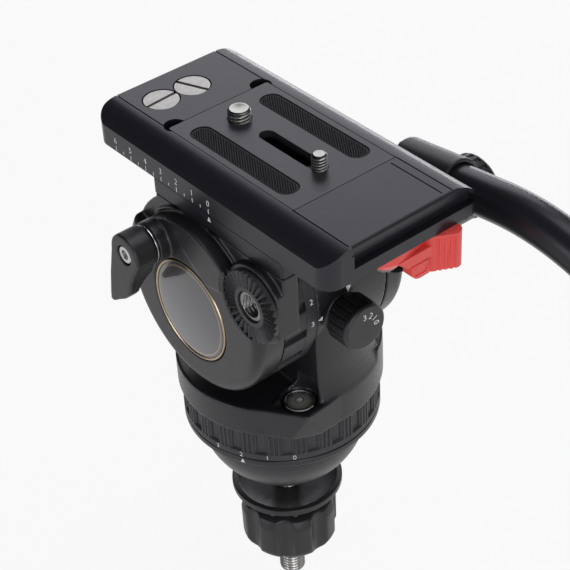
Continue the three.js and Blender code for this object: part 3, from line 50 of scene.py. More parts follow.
# Sizes in millimetres, as in the solids
GAP = 0.3
BED_TOP = 138.1
PLATFORM_LOW = 122.9
BLOCK_TOP = 122.6
BLOCK_LOW = 115.9
CHEEK_TOP = 115.6
TILT_Z = 80.0
DECK_Z = 33.4
HOUSING_LOW = 19.3
PAN_DIAL = (4.0, 19.0)
DRUM_R = 42.3
HOUSING_R = 44.2
FLANGE_R = 42.8
PLATFORM_HALF = 37.05
PLATFORM_REAR = -78.0
PLATFORM_FRONT = 64.3
BLOCK_REAR = -52.6
BLOCK_FRONT = 25.3
UPRIGHT = (-12.4, 23.6)
TILT_DIAL = (-29.2, -12.7)
LEFT_CHEEK = (-43.0, -29.5)
RIGHT_CHEEK = (24.2, 35.4)
ROSETTE_Y = -38.8
ROSETTE_Z = 98.3
ROSETTE_R = 15.2
LOCK_Y = 18.0
LOCK_Z = 100.2
KNOB_Z = 74.5
CHEEK_SCREW_Y = -35
SPARE_Y = 49
THREE_EIGHTHS_Y = 16.3
PAD_X = 17.4
QUARTER_R = 3.175
THREE_EIGHTHS_R = 4.76
BAR_LENGTH = 400
TINY = 1e-7

# Points on the axes of what turns
ORIGIN = (0, 0, 0)
TILT = (0, 0, TILT_Z)
ROSETTE = (0, ROSETTE_Y, ROSETTE_Z)
LOCK = (0, LOCK_Y, LOCK_Z)
BALANCE = (0, 0, KNOB_Z)
PAN_LOCK = (0, 14, 26.6)
PIVOT = (-0.5, -68.0, 0)
HOOK = (0, -45, 119.25)


# Plain mesh tools: every shape is given in millimetres and placed in its mesh

@contextmanager
def edited(mesh):
    """The mesh as a bmesh, written back at the end."""
    shape = bmesh.new()
    shape.from_mesh(mesh)
    yield shape
    shape.to_mesh(mesh)
    shape.free()

def linked(name, data):
    piece = bpy.data.objects.new(name, data)
    scene.collection.objects.link(piece)
    return piece

def put(name, verts, faces):
    mesh = bpy.data.meshes.new(name)
    mesh.from_pydata([(x * MM, y * MM, z * MM) for x, y, z in verts], [], faces)
    with edited(mesh) as shape:
        bmesh.ops.remove_doubles(shape, verts=shape.verts, dist=TINY)
        bmesh.ops.dissolve_degenerate(shape, dist=TINY, edges=shape.edges)
        bmesh.ops.recalc_face_normals(shape, faces=shape.faces)
    return linked(name, mesh)

def evaluated(piece):
    """Applies what modifiers the piece has and leaves a plain mesh on it."""
    graph = bpy.context.evaluated_depsgraph_get()
    graph.update()
    mesh = bpy.data.meshes.new_from_object(piece.evaluated_get(graph), preserve_all_data_layers=True,
                                           depsgraph=graph)
    piece.modifiers.clear()
    piece.data = mesh
    return piece


def drop(*pieces):
    for piece in pieces:
        bpy.data.objects.remove(piece)


def solve(base, tools, operation):
    for tool in tools:
        step = base.modifiers.new("solve", "BOOLEAN")
        step.object = tool
        step.operation = operation
        step.solver = "MANIFOLD"
    evaluated(base)
    drop(*tools)
    return base


def join(base, *tools):
    return solve(base, tools, "UNION")


def cut(base, *tools):
    return solve(base, tools, "DIFFERENCE")


def keep(base, *tools):
    return solve(base, tools, "INTERSECT")


def arc(a, b, radius, start, end, steps):
    return [
        (a + radius * math.cos(math.radians(start + (end - start) * i / steps)),
         b + radius * math.sin(math.radians(start + (end - start) * i / steps)))
        for i in range(steps + 1)
    ]


def rounded(a0, b0, a1, b1, radius, steps=8):
    return (arc(a1 - radius, b0 + radius, radius, -90, 0, steps) + arc(a1 - radius, b1 - radius, radius, 0,
            90, steps)
            + arc(a0 + radius, b1 - radius, radius, 90, 180, steps) + arc(a0 + radius, b0 + radius, radius,
                    180, 270, steps))


def across(axis, a, b, along):
    """The point at (a, b) across the axis: x takes (Y, Z), y takes (X, Z), z takes (X, Y)."""
    return {"x": (along, a, b), "y": (a, along, b), "z": (a, b, along)}[axis]


def prism(outline, axis, low, high):
    count = len(outline)
    verts = [across(axis, a, b, low) for a, b in outline] + [across(axis, a, b, high) for a, b in outline]
    faces = [list(range(count))[::-1], list(range(count, 2 * count))]
    faces += [(i, (i + 1) % count, (i + 1) % count + count, i + count) for i in range(count)]
    return put("tool", verts, faces)


def block(x0, x1, y0, y1, z0, z1):
    return prism([(x0, y0), (x1, y0), (x1, y1), (x0, y1)], "z", z0, z1)


def lathe(profile, axis, centre=ORIGIN, steps=96):
    """A closed profile of (radius, height along the axis); points on the axis close it as poles."""
    rings = []
    verts = []
    for radius, along in profile:
        if radius < 1e-6:
            rings.append([len(verts)])
            verts.append(across(axis, 0, 0, along))
        else:
            rings.append(list(range(len(verts), len(verts) + steps)))
            for i in range(steps):
                angle = TURN * i / steps
                verts.append(across(axis, radius * math.cos(angle), radius * math.sin(angle), along))
    verts = [(x + centre[0], y + centre[1], z + centre[2]) for x, y, z in verts]
    faces = []
    for j in range(len(profile)):
        a, b = rings[j], rings[(j + 1) % len(profile)]
        if len(a) == 1 and len(b) == 1:
            continue
        for i in range(steps):
            k = (i + 1) % steps
            if len(a) == 1:
                faces.append((a[0], b[i], b[k]))
            elif len(b) == 1:
                faces.append((a[i], b[0], a[k]))
            else:
                faces.append((a[i], b[i], b[k], a[k]))
    return put("tool", verts, faces)


def rod(axis, centre, radius, low, high, steps=48, edge=0.0):
    if edge:
        profile = [(0, low), (radius - edge, low), (radius, low + edge), (radius, high - edge),
                   (radius - edge, high), (0, high)]
    else:
        profile = [(0, low), (radius, low), (radius, high), (0, high)]
    return lathe(profile, axis, centre, steps)


def ring(axis, centre, inner, outer, low, high, steps=96):
    return lathe([(inner, low), (outer, low), (outer, high), (inner, high)], axis, centre, steps)


def moved(piece, matrix):
    piece.data.transform(matrix)
    return piece


def threaded(axis, centre, radius, pitch, low, high, depth, steps=48, inside=False):
    """A rod with a helical thread, or the core that cuts one in a bore; the runout is plain at both ends."""
    rows = max(4, int((high - low) / pitch * 8))
    verts = [across(axis, 0, 0, low)]
    for j in range(rows + 1):
        along = low + (high - low) * j / rows
        fade = min(1.0, (along - low) / (0.6 * pitch) + 0.15, (high - along) / (0.6 * pitch) + 0.15)
        for i in range(steps):
            turn = (along / pitch - i / steps) % 1.0
            wave = abs(2 * turn - 1)
            crest = min(1.0, max(0.0, wave * 1.35 - 0.18))
            reach = radius - depth * (1 - crest) * fade
            if inside:
                reach = radius - depth * (1 - crest)
            if not inside and (j == 0 or j == rows):
                reach = radius - depth
            angle = TURN * i / steps
            verts.append(across(axis, reach * math.cos(angle), reach * math.sin(angle), along))
    verts.append(across(axis, 0, 0, high))
    verts = [(x + centre[0], y + centre[1], z + centre[2]) for x, y, z in verts]
    faces = []
    for i in range(steps):
        k = (i + 1) % steps
        faces.append((0, 1 + i, 1 + k))
        last = 1 + rows * steps
        faces.append((len(verts) - 1, last + k, last + i))
        for j in range(rows):
            a = 1 + j * steps
            b = a + steps
            faces.append((a + i, b + i, b + k, a + k))
    return put("tool", verts, faces)


# Geometry Nodes: a piece repeated round an axis, and a piece repeated along rows

def tree_with(name, sockets):
    tree = bpy.data.node_groups.new(name, "GeometryNodeTree")
    tree.interface.new_socket("Geometry", in_out="INPUT", socket_type="NodeSocketGeometry")
    tree.interface.new_socket("Geometry", in_out="OUTPUT", socket_type="NodeSocketGeometry")
    for label, kind in sockets:
        tree.interface.new_socket(label, in_out="INPUT", socket_type=kind)
    return tree


def wire(tree, start, end):
    tree.links.new(start, end)


def calc(tree, operation, first, second=None):
    """A math node on two values, each a socket or a number."""
    node = tree.nodes.new("ShaderNodeMath")
    node.operation = operation
    for socket, value in zip(node.inputs, (first, second)):
        if isinstance(value, (int, float)):
            socket.default_value = value
        elif value is not None:
            wire(tree, value, socket)
    return node.outputs[0]

def scaled(tree, vector, factor):
    node = tree.nodes.new("ShaderNodeVectorMath")
    node.operation = "SCALE"
    wire(tree, vector, node.inputs[0])
    wire(tree, factor, node.inputs["Scale"])
    return node.outputs[0]

def scattered(tree, given, count):
    """Copies of the given piece, all in its own place, and their index."""
    line = tree.nodes.new("GeometryNodeMeshLine")
    line.inputs["Offset"].default_value = (0, 0, 0)
    wire(tree, count, line.inputs["Count"])
    copies = tree.nodes.new("GeometryNodeInstanceOnPoints")
    wire(tree, line.outputs["Mesh"], copies.inputs["Points"])
    wire(tree, given.outputs["Geometry"], copies.inputs["Instance"])
    return copies.outputs["Instances"], tree.nodes.new("GeometryNodeInputIndex").outputs[0]

def round_tree():
    """Count copies of the piece, turned evenly about an axis through Centre."""
    tree = tree_with("repeat_round", [("Count", "NodeSocketInt"), ("Axis", "NodeSocketVector"),
                                      ("Centre", "NodeSocketVector"), ("Material", "NodeSocketMaterial")])
    given = tree.nodes.new("NodeGroupInput")
    copies, index = scattered(tree, given, given.outputs["Count"])
    angle = calc(tree, "MULTIPLY", calc(tree, "DIVIDE", index, given.outputs["Count"]), TURN)
    spin = tree.nodes.new("GeometryNodeRotateInstances")
    spin.inputs["Local Space"].default_value = False
    wire(tree, copies, spin.inputs["Instances"])
    wire(tree, scaled(tree, given.outputs["Axis"], angle), spin.inputs["Rotation"])
    wire(tree, given.outputs["Centre"], spin.inputs["Pivot Point"])
    return close_tree(tree, given, spin.outputs["Instances"])

def row_tree():
    """Count copies of the piece, each a Step further on, in Rows rows a Row Step apart; odd rows shift."""
    tree = tree_with("repeat_rows", [("Count", "NodeSocketInt"), ("Step", "NodeSocketVector"),
                                     ("Rows", "NodeSocketInt"), ("Row Step", "NodeSocketVector"),
                                     ("Odd Shift", "NodeSocketVector"), ("Material", "NodeSocketMaterial")])
    given = tree.nodes.new("NodeGroupInput")
    count = given.outputs["Count"]
    copies, index = scattered(tree, given, calc(tree, "MULTIPLY", count, given.outputs["Rows"]))
    row = calc(tree, "FLOOR", calc(tree, "DIVIDE", index, count))
    factors = {"Step": calc(tree, "MODULO", index, count), "Row Step": row,
               "Odd Shift": calc(tree, "MODULO", row, 2)}
    total = None
    for label, factor in factors.items():
        part = scaled(tree, given.outputs[label], factor)
        if total is not None:
            both = tree.nodes.new("ShaderNodeVectorMath")
            wire(tree, total, both.inputs[0])
            wire(tree, part, both.inputs[1])
            part = both.outputs[0]
        total = part
    shift = tree.nodes.new("GeometryNodeTranslateInstances")
    shift.inputs["Local Space"].default_value = False
    wire(tree, copies, shift.inputs["Instances"])
    wire(tree, total, shift.inputs["Translation"])
    return close_tree(tree, given, shift.outputs["Instances"])

def close_tree(tree, given, last):
    real = tree.nodes.new("GeometryNodeRealizeInstances")
    wire(tree, last, real.inputs["Geometry"])
    dressed = tree.nodes.new("GeometryNodeSetMaterial")
    wire(tree, real.outputs["Geometry"], dressed.inputs["Geometry"])
    wire(tree, given.outputs["Material"], dressed.inputs["Material"])
    result = tree.nodes.new("NodeGroupOutput")
    wire(tree, dressed.outputs["Geometry"], result.inputs["Geometry"])
    return tree


ROUND_TREE = round_tree()
ROW_TREE = row_tree()


def repeated(piece, tree, **sizes):
    """The piece becomes a plain mesh of its copies."""
    step = piece.modifiers.new("repeat", "NODES")
    step.node_group = tree
    for item in tree.interface.items_tree:
        if item.in_out == "INPUT" and item.name in sizes:
            step[item.identifier] = sizes[item.name]
    return evaluated(piece)


def repeat_round(piece, axis, centre, count):
    unit = {"x": (1.0, 0.0, 0.0), "y": (0.0, 1.0, 0.0), "z": (0.0, 0.0, 1.0)}[axis]
    return repeated(piece, ROUND_TREE, Count=count, Axis=unit, Centre=tuple(c * MM for c in centre))


def repeat_rows(piece, count, step, rows=1, row_step=(0, 0, 0), odd_shift=(0, 0, 0)):
    return repeated(piece, ROW_TREE, Count=count, Step=tuple(c * MM for c in step), Rows=rows,
                    **{"Row Step": tuple(c * MM for c in row_step),
                       "Odd Shift": tuple(c * MM for c in odd_shift)})


# Finishing: soft edges, smooth castings, material, body

def merged(piece):
    with edited(piece.data) as shape:
        bmesh.ops.remove_doubles(shape, verts=shape.verts, dist=2e-6)
        bmesh.ops.dissolve_degenerate(shape, dist=2e-6, edges=shape.edges)
        bmesh.ops.dissolve_limit(shape, angle_limit=math.radians(0.4), verts=shape.verts, edges=shape.edges)
    return piece


def smooth(piece, angle=32):
    piece.data.shade_smooth()
    piece.data.set_sharp_from_angle(angle=math.radians(angle))
    return piece


def softened(piece, width=0.35, segments=2, angle=28):
    """A small round on every edge, with the big faces kept flat."""
    merged(piece)
    step = piece.modifiers.new("edge", "BEVEL")
    step.width = width * MM
    step.segments = segments
    step.limit_method = "ANGLE"
    step.angle_limit = math.radians(angle)
    step.use_clamp_overlap = True
    step.miter_outer = "MITER_ARC"
    evaluated(piece)
    smooth(piece, 40)
    step = piece.modifiers.new("normals", "WEIGHTED_NORMAL")
    step.keep_sharp = True
    step.weight = 80
    return evaluated(piece)


def cast(piece, voxel=0.6, rounds=6):
    """A casting: every edge and inner corner is rounded a little."""
    step = piece.modifiers.new("skin", "REMESH")
    step.mode = "VOXEL"
    step.voxel_size = voxel * MM
    step = piece.modifiers.new("round", "SMOOTH")
    step.factor = 0.5
    step.iterations = rounds
    evaluated(piece)
    piece.data.shade_smooth()
    return piece


def dress(piece, name, material, body, replaces=()):
    piece.name = name
    piece.data.name = name
    piece.data.materials.clear()
    piece.data.materials.append(material)
    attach(piece, body)
    if replaces:
        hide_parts(*replaces)
    return piece


def written(text, size, origin, right, up, depth=0.12, thin=0.0):
    """Numbers as a thin solid, centred on the origin, reading along right with the top towards up."""
    curve = bpy.data.curves.new("mark", "FONT")
    curve.body = text
    curve.size = size * MM
    curve.align_x = "CENTER"
    curve.align_y = "CENTER"
    curve.extrude = depth * MM
    curve.offset = thin * MM
    curve.resolution_u = 4
    word = linked("mark", curve)
    graph = bpy.context.evaluated_depsgraph_get()
    graph.update()
    mesh = bpy.data.meshes.new_from_object(word.evaluated_get(graph), depsgraph=graph)
    bpy.data.objects.remove(word)
    along = Vector(right).normalized()
    high = Vector(up)
    high = (high - along * high.dot(along)).normalized()
    out = along.cross(high)
    turn = Matrix((along, high, out)).transposed().to_4x4()
    mesh.transform(Matrix.Translation(Vector(origin) * MM) @ turn)
    with edited(mesh) as shape:
        bmesh.ops.remove_doubles(shape, verts=shape.verts, dist=TINY)
        bmesh.ops.recalc_face_normals(shape, faces=shape.faces)
    return linked("mark", mesh)


def pointer(tip, base_left, base_right, out, depth=0.12):
    """A small triangular mark as a thin solid."""
    lift = Vector(out).normalized() * depth
    points = [Vector(p) for p in (tip, base_left, base_right)]
    verts = [tuple(p - lift) for p in points] + [tuple(p + lift) for p in points]
    return put("mark", verts, [(0, 1, 2), (3, 5, 4), (0, 3, 4, 1), (1, 4, 5, 2), (2, 5, 3, 0)])


def together(*pieces):
    """Separate closed shells in one mesh, such as the digits of one scale."""
    shape = bmesh.new()
    for piece in pieces:
        shape.from_mesh(piece.data)
    mesh = bpy.data.meshes.new("together")
    shape.to_mesh(mesh)
    shape.free()
    drop(*pieces)
    return linked("together", mesh)


# Materials

def shader(name):
    material = bpy.data.materials.new(name)
    material.use_nodes = True
    return material, material.node_tree, material.node_tree.nodes["Principled BSDF"]


def object_coords(tree, stretch=(1, 1, 1), centre=(0, 0, 0)):
    coords = tree.nodes.new("ShaderNodeTexCoord")
    place = tree.nodes.new("ShaderNodeMapping")
    place.inputs["Location"].default_value = tuple(-c * MM * s for c, s in zip(centre, stretch))
    place.inputs["Scale"].default_value = stretch
    wire(tree, coords.outputs["Object"], place.inputs["Vector"])
    return place.outputs["Vector"]


def noise(tree, vector, grain, detail=3.0, rough=0.55):
    """Noise whose features are about grain millimetres wide."""
    texture = tree.nodes.new("ShaderNodeTexNoise")
    texture.inputs["Scale"].default_value = 1 / (grain * MM)
    texture.inputs["Detail"].default_value = detail
    texture.inputs["Roughness"].default_value = rough
    wire(tree, vector, texture.inputs["Vector"])
    return texture.outputs["Fac"]


def ranged(tree, value, low, high, start=0.3, end=0.7):
    step = tree.nodes.new("ShaderNodeMapRange")
    step.inputs["From Min"].default_value = start
    step.inputs["From Max"].default_value = end
    step.inputs["To Min"].default_value = low
    step.inputs["To Max"].default_value = high
    wire(tree, value, step.inputs["Value"])
    return step.outputs["Result"]


def mixed(tree, share, first, second):
    mix = tree.nodes.new("ShaderNodeMix")
    mix.data_type = "RGBA"
    for socket, value in ((mix.inputs[6], first), (mix.inputs[7], second)):
        if isinstance(value, tuple):
            socket.default_value = (*value, 1)
        else:
            wire(tree, value, socket)
    wire(tree, share, mix.inputs[0])
    return mix.outputs[2]


def bumped(tree, body, *layers):
    """Layers of (height output, strength, depth in millimetres), one over the other."""
    last = None
    for height, strength, depth in layers:
        bump = tree.nodes.new("ShaderNodeBump")
        bump.inputs["Strength"].default_value = strength
        bump.inputs["Distance"].default_value = depth * MM
        wire(tree, height, bump.inputs["Height"])
        if last:
            wire(tree, last, bump.inputs["Normal"])
        last = bump.outputs["Normal"]
    wire(tree, last, body.inputs["Normal"])


def reach_from(tree, flatten, centre):
    """The distance from a centre, or from an axis through it, in metres."""
    reach = tree.nodes.new("ShaderNodeVectorMath")
    reach.operation = "LENGTH"
    wire(tree, object_coords(tree, flatten, centre), reach.inputs[0])
    return reach.outputs["Value"]

def band(tree, reach, inner, outer):
    """One between two radii and nought elsewhere; each edge fades over its own short range."""
    return calc(tree, "MULTIPLY", ranged(tree, reach, 1, 0, *outer), ranged(tree, reach, 0, 1, *inner))

def mixed_shaders(tree, share, first, second, target):
    mix = tree.nodes.new("ShaderNodeMixShader")
    for socket, value in zip(mix.inputs, (share, first, second)):
        wire(tree, value, socket)
    wire(tree, mix.outputs["Shader"], tree.nodes[target].inputs["Surface"])

def edge_wear(tree, colour, worn, amount):
    """The paint is rubbed a little lighter on sharp outer edges, unevenly."""
    form = tree.nodes.new("ShaderNodeNewGeometry")
    edge = ranged(tree, form.outputs["Pointiness"], 0.0, amount, 0.53, 0.6)
    patches = ranged(tree, noise(tree, object_coords(tree), 3.0), 0.0, 1.0, 0.4, 0.65)
    return mixed(tree, calc(tree, "MULTIPLY", edge, patches), colour, worn)


def painted_casting(name, colour, light, worn, roughness=0.46, grain=0.32, depth=0.035):
    material, tree, body = shader(name)
    vector = object_coords(tree)
    tone = mixed(tree, ranged(tree, noise(tree, vector, 9.0, 4), 0, 1), colour, light)
    wire(tree, edge_wear(tree, tone, worn, 0.4), body.inputs["Base Color"])
    wire(tree, ranged(tree, noise(tree, vector, 1.3, 4), roughness - 0.05, roughness + 0.07),
         body.inputs["Roughness"])
    body.inputs["Specular IOR Level"].default_value = 0.5
    bumped(tree, body, (noise(tree, vector, grain, 2), 0.5, depth),
           (noise(tree, vector, grain * 5, 2), 0.25, depth))
    return material


def anodised(name, colour, light, roughness=0.31):
    """Bead-blasted, anodised aluminium: even satin with a very fine grain."""
    material, tree, body = shader(name)
    vector = object_coords(tree)
    tone = mixed(tree, ranged(tree, noise(tree, vector, 14.0, 3), 0, 1), colour, light)
    wire(tree, tone, body.inputs["Base Color"])
    wire(tree, ranged(tree, noise(tree, vector, 0.3, 2), roughness - 0.012, roughness + 0.015),
         body.inputs["Roughness"])
    body.inputs["Metallic"].default_value = 0.25
    bumped(tree, body, (noise(tree, vector, 0.10, 2), 0.2, 0.006))
    return material


def moulded(name, colour, light, roughness=0.42, grain=0.22, depth=0.02, worn=None):
    """Injection-moulded plastic with the fine spark texture of its mould."""
    material, tree, body = shader(name)
    vector = object_coords(tree)
    tone = mixed(tree, ranged(tree, noise(tree, vector, 6.0, 3), 0, 1), colour, light)
    if worn:
        tone = edge_wear(tree, tone, worn, 0.5)
    wire(tree, tone, body.inputs["Base Color"])
    wire(tree, ranged(tree, noise(tree, vector, 0.8, 3), roughness - 0.05, roughness + 0.06),
         body.inputs["Roughness"])
    spots = tree.nodes.new("ShaderNodeTexVoronoi")
    spots.inputs["Scale"].default_value = 1 / (grain * MM)
    wire(tree, vector, spots.inputs["Vector"])
    bumped(tree, body, (spots.outputs["Distance"], 0.35, depth),
           (noise(tree, vector, grain * 3, 2), 0.2, depth))
    return material


def turned_metal(name, colour, light, axis, centre, roughness=0.24, metallic=1.0, pitch=0.16, depth=0.006,
                 roots=None):
    """Turned on a lathe: fine, uneven rings about the axis; thread roots between two radii get painted shade,
    near black on the flanks.
    """
    material, tree, body = shader(name)
    reach = reach_from(tree, {"x": (0, 1, 1), "y": (1, 0, 1), "z": (1, 1, 0)}[axis], centre)
    rings = tree.nodes.new("ShaderNodeTexNoise")
    rings.noise_dimensions = "1D"
    rings.inputs["Scale"].default_value = 1 / (pitch * MM)
    rings.inputs["Detail"].default_value = 3
    wire(tree, reach, rings.inputs["W"])
    vector = object_coords(tree)
    tone = mixed(tree, ranged(tree, noise(tree, vector, 2.4, 4), 0, 1), colour, light)
    if roots:
        # Painted shade: surfaces facing across the axis, between the two root radii, are painted near black.
        facing = tree.nodes.new("ShaderNodeSeparateXYZ")
        wire(tree, tree.nodes.new("ShaderNodeTexCoord").outputs["Normal"], facing.inputs[0])
        flank = ranged(tree, facing.outputs[axis.upper()], 1, 0, 0.85, 0.97)
        low = ranged(tree, reach, 1, 0, roots[0] * MM, roots[1] * MM)
        tone = mixed(tree, calc(tree, "MULTIPLY", flank, low), tone, (0.05, 0.048, 0.045))
    wire(tree, tone, body.inputs["Base Color"])
    wire(tree, ranged(tree, rings.outputs["Fac"], roughness - 0.06, roughness + 0.1),
         body.inputs["Roughness"])
    body.inputs["Metallic"].default_value = metallic
    bumped(tree, body, (rings.outputs["Fac"], 0.5, depth), (noise(tree, vector, 0.4, 2), 0.15, depth))
    return material


def ground_metal(name, colour, light, roughness=0.34, metallic=1.0):
    """Rolled or ground metal with short directionless scratches."""
    material, tree, body = shader(name)
    long_grain = object_coords(tree, (1, 0.08, 1))
    scratch = noise(tree, long_grain, 0.12, 4, 0.7)
    vector = object_coords(tree)
    tone = mixed(tree, ranged(tree, noise(tree, vector, 3.0, 4), 0, 1), colour, light)
    wire(tree, tone, body.inputs["Base Color"])
    wire(tree, ranged(tree, scratch, roughness - 0.08, roughness + 0.1), body.inputs["Roughness"])
    body.inputs["Metallic"].default_value = metallic
    bumped(tree, body, (scratch, 0.4, 0.008))
    return material


def soft_black(name, colour, light, roughness, grain, depth):
    """Rubber or closed-cell foam: dull, with small cells."""
    material, tree, body = shader(name)
    vector = object_coords(tree)
    cells = tree.nodes.new("ShaderNodeTexVoronoi")
    cells.inputs["Scale"].default_value = 1 / (grain * MM)
    wire(tree, vector, cells.inputs["Vector"])
    tone = mixed(tree, ranged(tree, noise(tree, vector, 5.0, 4), 0, 1), colour, light)
    wire(tree, tone, body.inputs["Base Color"])
    wire(tree, ranged(tree, noise(tree, vector, 1.5, 3), roughness - 0.05, roughness + 0.05),
         body.inputs["Roughness"])
    body.inputs["Specular IOR Level"].default_value = 0.3
    bumped(tree, body, (cells.outputs["Distance"], 0.7, depth),
           (noise(tree, vector, grain * 0.5, 3), 0.4, depth))
    return material


BLACK_CAST = painted_casting("black_casting", (0.0100, 0.0100, 0.0115), (0.0135, 0.0135, 0.0150),
                             (0.055, 0.055, 0.058), 0.33)
BLACK_ANODISED = anodised("black_anodised", (0.0165, 0.0162, 0.0205), (0.0185, 0.0182, 0.0225))
BLACK_PLATE = anodised("black_plate", (0.031, 0.0305, 0.036), (0.034, 0.0335, 0.039), 0.335)
BLACK_MOULDED = moulded("black_moulding", (0.010, 0.010, 0.011), (0.015, 0.015, 0.016), 0.4,
                        worn=(0.03, 0.03, 0.03))
DIAL_GREY = moulded("dial_grey", (0.022, 0.022, 0.024), (0.030, 0.030, 0.032), 0.5, 0.3, 0.03,
                    worn=(0.05, 0.05, 0.05))
RED_MOULDED = moulded("red_moulding", (0.86, 0.085, 0.070), (0.88, 0.095, 0.078), 0.36, 0.3, 0.012)
PAD_RUBBER = soft_black("pad_rubber", (0.010, 0.010, 0.011), (0.016, 0.016, 0.017), 0.62, 0.35, 0.03)
GRIP_FOAM = soft_black("grip_foam", (0.011, 0.011, 0.012), (0.018, 0.018, 0.019), 0.86, 0.7, 0.10)
WHITE_PAINT = moulded("white_print", (0.78, 0.78, 0.76), (0.84, 0.84, 0.82), 0.5, 0.2, 0.01)
SCREW_STEEL = turned_metal("screw_steel", (0.62, 0.60, 0.57), (0.70, 0.68, 0.65), "z", ORIGIN, 0.26)
DARK_STEEL = ground_metal("dark_steel", (0.17, 0.17, 0.175), (0.22, 0.22, 0.225))
BRIGHT_STEEL = ground_metal("bright_steel", (0.58, 0.57, 0.55), (0.66, 0.65, 0.63), 0.28)
SPRING_STEEL = ground_metal("spring_steel", (0.09, 0.095, 0.11), (0.13, 0.135, 0.15), 0.38)
BRONZE = ground_metal("bronze", (0.42, 0.24, 0.10), (0.50, 0.30, 0.13), 0.36)


# Every node that keeps its solid gets the finish of its slot first; the pieces below replace what shows

SLOT_FINISH = {
    "cast_black": BLACK_CAST, "anodised": BLACK_ANODISED, "moulded_black": BLACK_MOULDED,
    "dial_grey": DIAL_GREY,
    "red_plastic": RED_MOULDED, "pad_rubber": PAD_RUBBER, "grip_foam": GRIP_FOAM,
    "bright_steel": BRIGHT_STEEL,
    "dark_steel": DARK_STEEL, "spring_steel": SPRING_STEEL, "bronze": BRONZE, "gold_rim": BRONZE,
    "badge_grey": BLACK_MOULDED, "level_glass": BRIGHT_STEEL,
}
for part in frame["record"]["subparts"]:
    mesh = nodes[part["node"]].data
    mesh.materials.clear()
    mesh.materials.append(SLOT_FINISH[part["material_slot"]])
# Dark steel on the release pivot also stands in for shade: the sliver of its head that shows reads as painted
# shade on the drum.
nodes["release_pivot"].data.materials[0] = DARK_STEEL

# Bowl mount: half ball, base flange, stud, dish and tie-down knob

TURNED_BLACK = turned_metal("turned_black", (0.016, 0.016, 0.018), (0.024, 0.024, 0.026), "z", ORIGIN, 0.34,
                            0.3, 0.3, 0.01)
BALL_R = 37.5
BALL_LOW = -26.0
low_angle = math.degrees(math.asin(BALL_LOW / BALL_R))
ball = lathe([(6.8, BALL_LOW), (26.0, BALL_LOW)] + arc(0, 0, BALL_R, low_angle + 1.5, -0.8, 30)
             + [(BALL_R - 0.6, -GAP), (8.3, -GAP), (8.3, -9.4), (6.8, -9.4)], "z", steps=128)
dress(smooth(ball, 20), "ball_shell", TURNED_BLACK, "bowl_mount", ["half_ball"])

STUD = (-104.0, -12.0)
stud = threaded("z", ORIGIN, 6.0, 1.75, STUD[0], STUD[1], 0.95, steps=40)
dress(smooth(stud, 60), "stud_thread", SCREW_STEEL, "bowl_mount", ["tie_down_stud"])

flange = lathe([(8.3, 0), (FLANGE_R - 1.0, 0), (FLANGE_R, 1.0), (FLANGE_R, 3.3), (FLANGE_R - 0.4, 3.7),
                (16, 3.7),
                (16, 8), (8.3, 8)], "z", steps=160)
dress(softened(flange, 0.25), "base_flange", BLACK_CAST, "bowl_mount", ["pan_base"])
mark_angle = math.radians(-152.6)
out = Vector((math.cos(mark_angle), math.sin(mark_angle), 0))
side = Vector((-out.y, out.x, 0))
spot = out * FLANGE_R
flange_mark = pointer(spot + Vector((0, 0, 3.3)), spot - side * 0.95 + Vector((0, 0, 1.3)),
                      spot + side * 0.95 + Vector((0, 0, 1.3)), out, 0.1)
dress(flange_mark, "flange_pointer", WHITE_PAINT, "bowl_mount")

dish = lathe([(6.8, -53), (13.6, -53), (17, -51.4), (24.2, -47.6), (25, -46.8), (25, -44.4), (24.6, -44),
              (22.6, -44),
              (22.0, -44.5), (15, -46.8), (6.8, -47)], "z", steps=96)
dish_ribs = repeat_round(block(13.0, 20.5, -0.9, 0.9, -52.6, -49.2), "z", ORIGIN, 12)
dress(softened(join(dish, dish_ribs), 0.4), "bowl_dish", BLACK_CAST, "tie_dish",
      ["tie_down_dish"])

KNOB_TOP = -53.3
KNOB_LOW = -83.3
knob = lathe([(0, KNOB_LOW), (13, KNOB_LOW), (20.4, KNOB_LOW + 4.5), (21.8, KNOB_LOW + 7), (22, KNOB_TOP - 7),
              (20.4, KNOB_TOP - 3.4), (13, KNOB_TOP), (0, KNOB_TOP)], "z", steps=96)
lobes = repeat_round(rod("z", (24.75, 0, 0), 5.5, KNOB_LOW - 2, KNOB_TOP + 2, 32), "z", ORIGIN, 8)
cut(knob, lobes)
cut(knob, rod("z", ORIGIN, 6.4, -105, KNOB_TOP + 2, 48),
    ring("z", ORIGIN, 8.2, 9.4, KNOB_LOW - 1, KNOB_LOW + 1.0, 64))
dress(cast(knob, 0.7, 5), "bowl_knob", BLACK_MOULDED, "tie_knob", ["tie_down_knob"])


# Pan stage

def dial_land(inner, outer, low, high, half_angle, ribs):
    """One land of the pan dial: a sector with fine ribs standing on it."""
    points = [(inner, -half_angle - 0.9), (outer - 0.9, -half_angle - 0.9), (outer - 0.45, -half_angle)]
    pitch = 2 * half_angle / ribs
    for i in range(ribs):
        start = -half_angle + pitch * i
        points += [(outer - 0.5, start + 0.16 * pitch), (outer, start + 0.30 * pitch),
                   (outer, start + 0.70 * pitch),
                   (outer - 0.5, start + 0.84 * pitch)]
    points += [(outer - 0.45, half_angle), (outer - 0.9, half_angle + 0.9), (inner, half_angle + 0.9)]
    outline = [(r * math.cos(math.radians(a)), r * math.sin(math.radians(a))) for r, a in points]
    return prism(outline, "z", low, high)


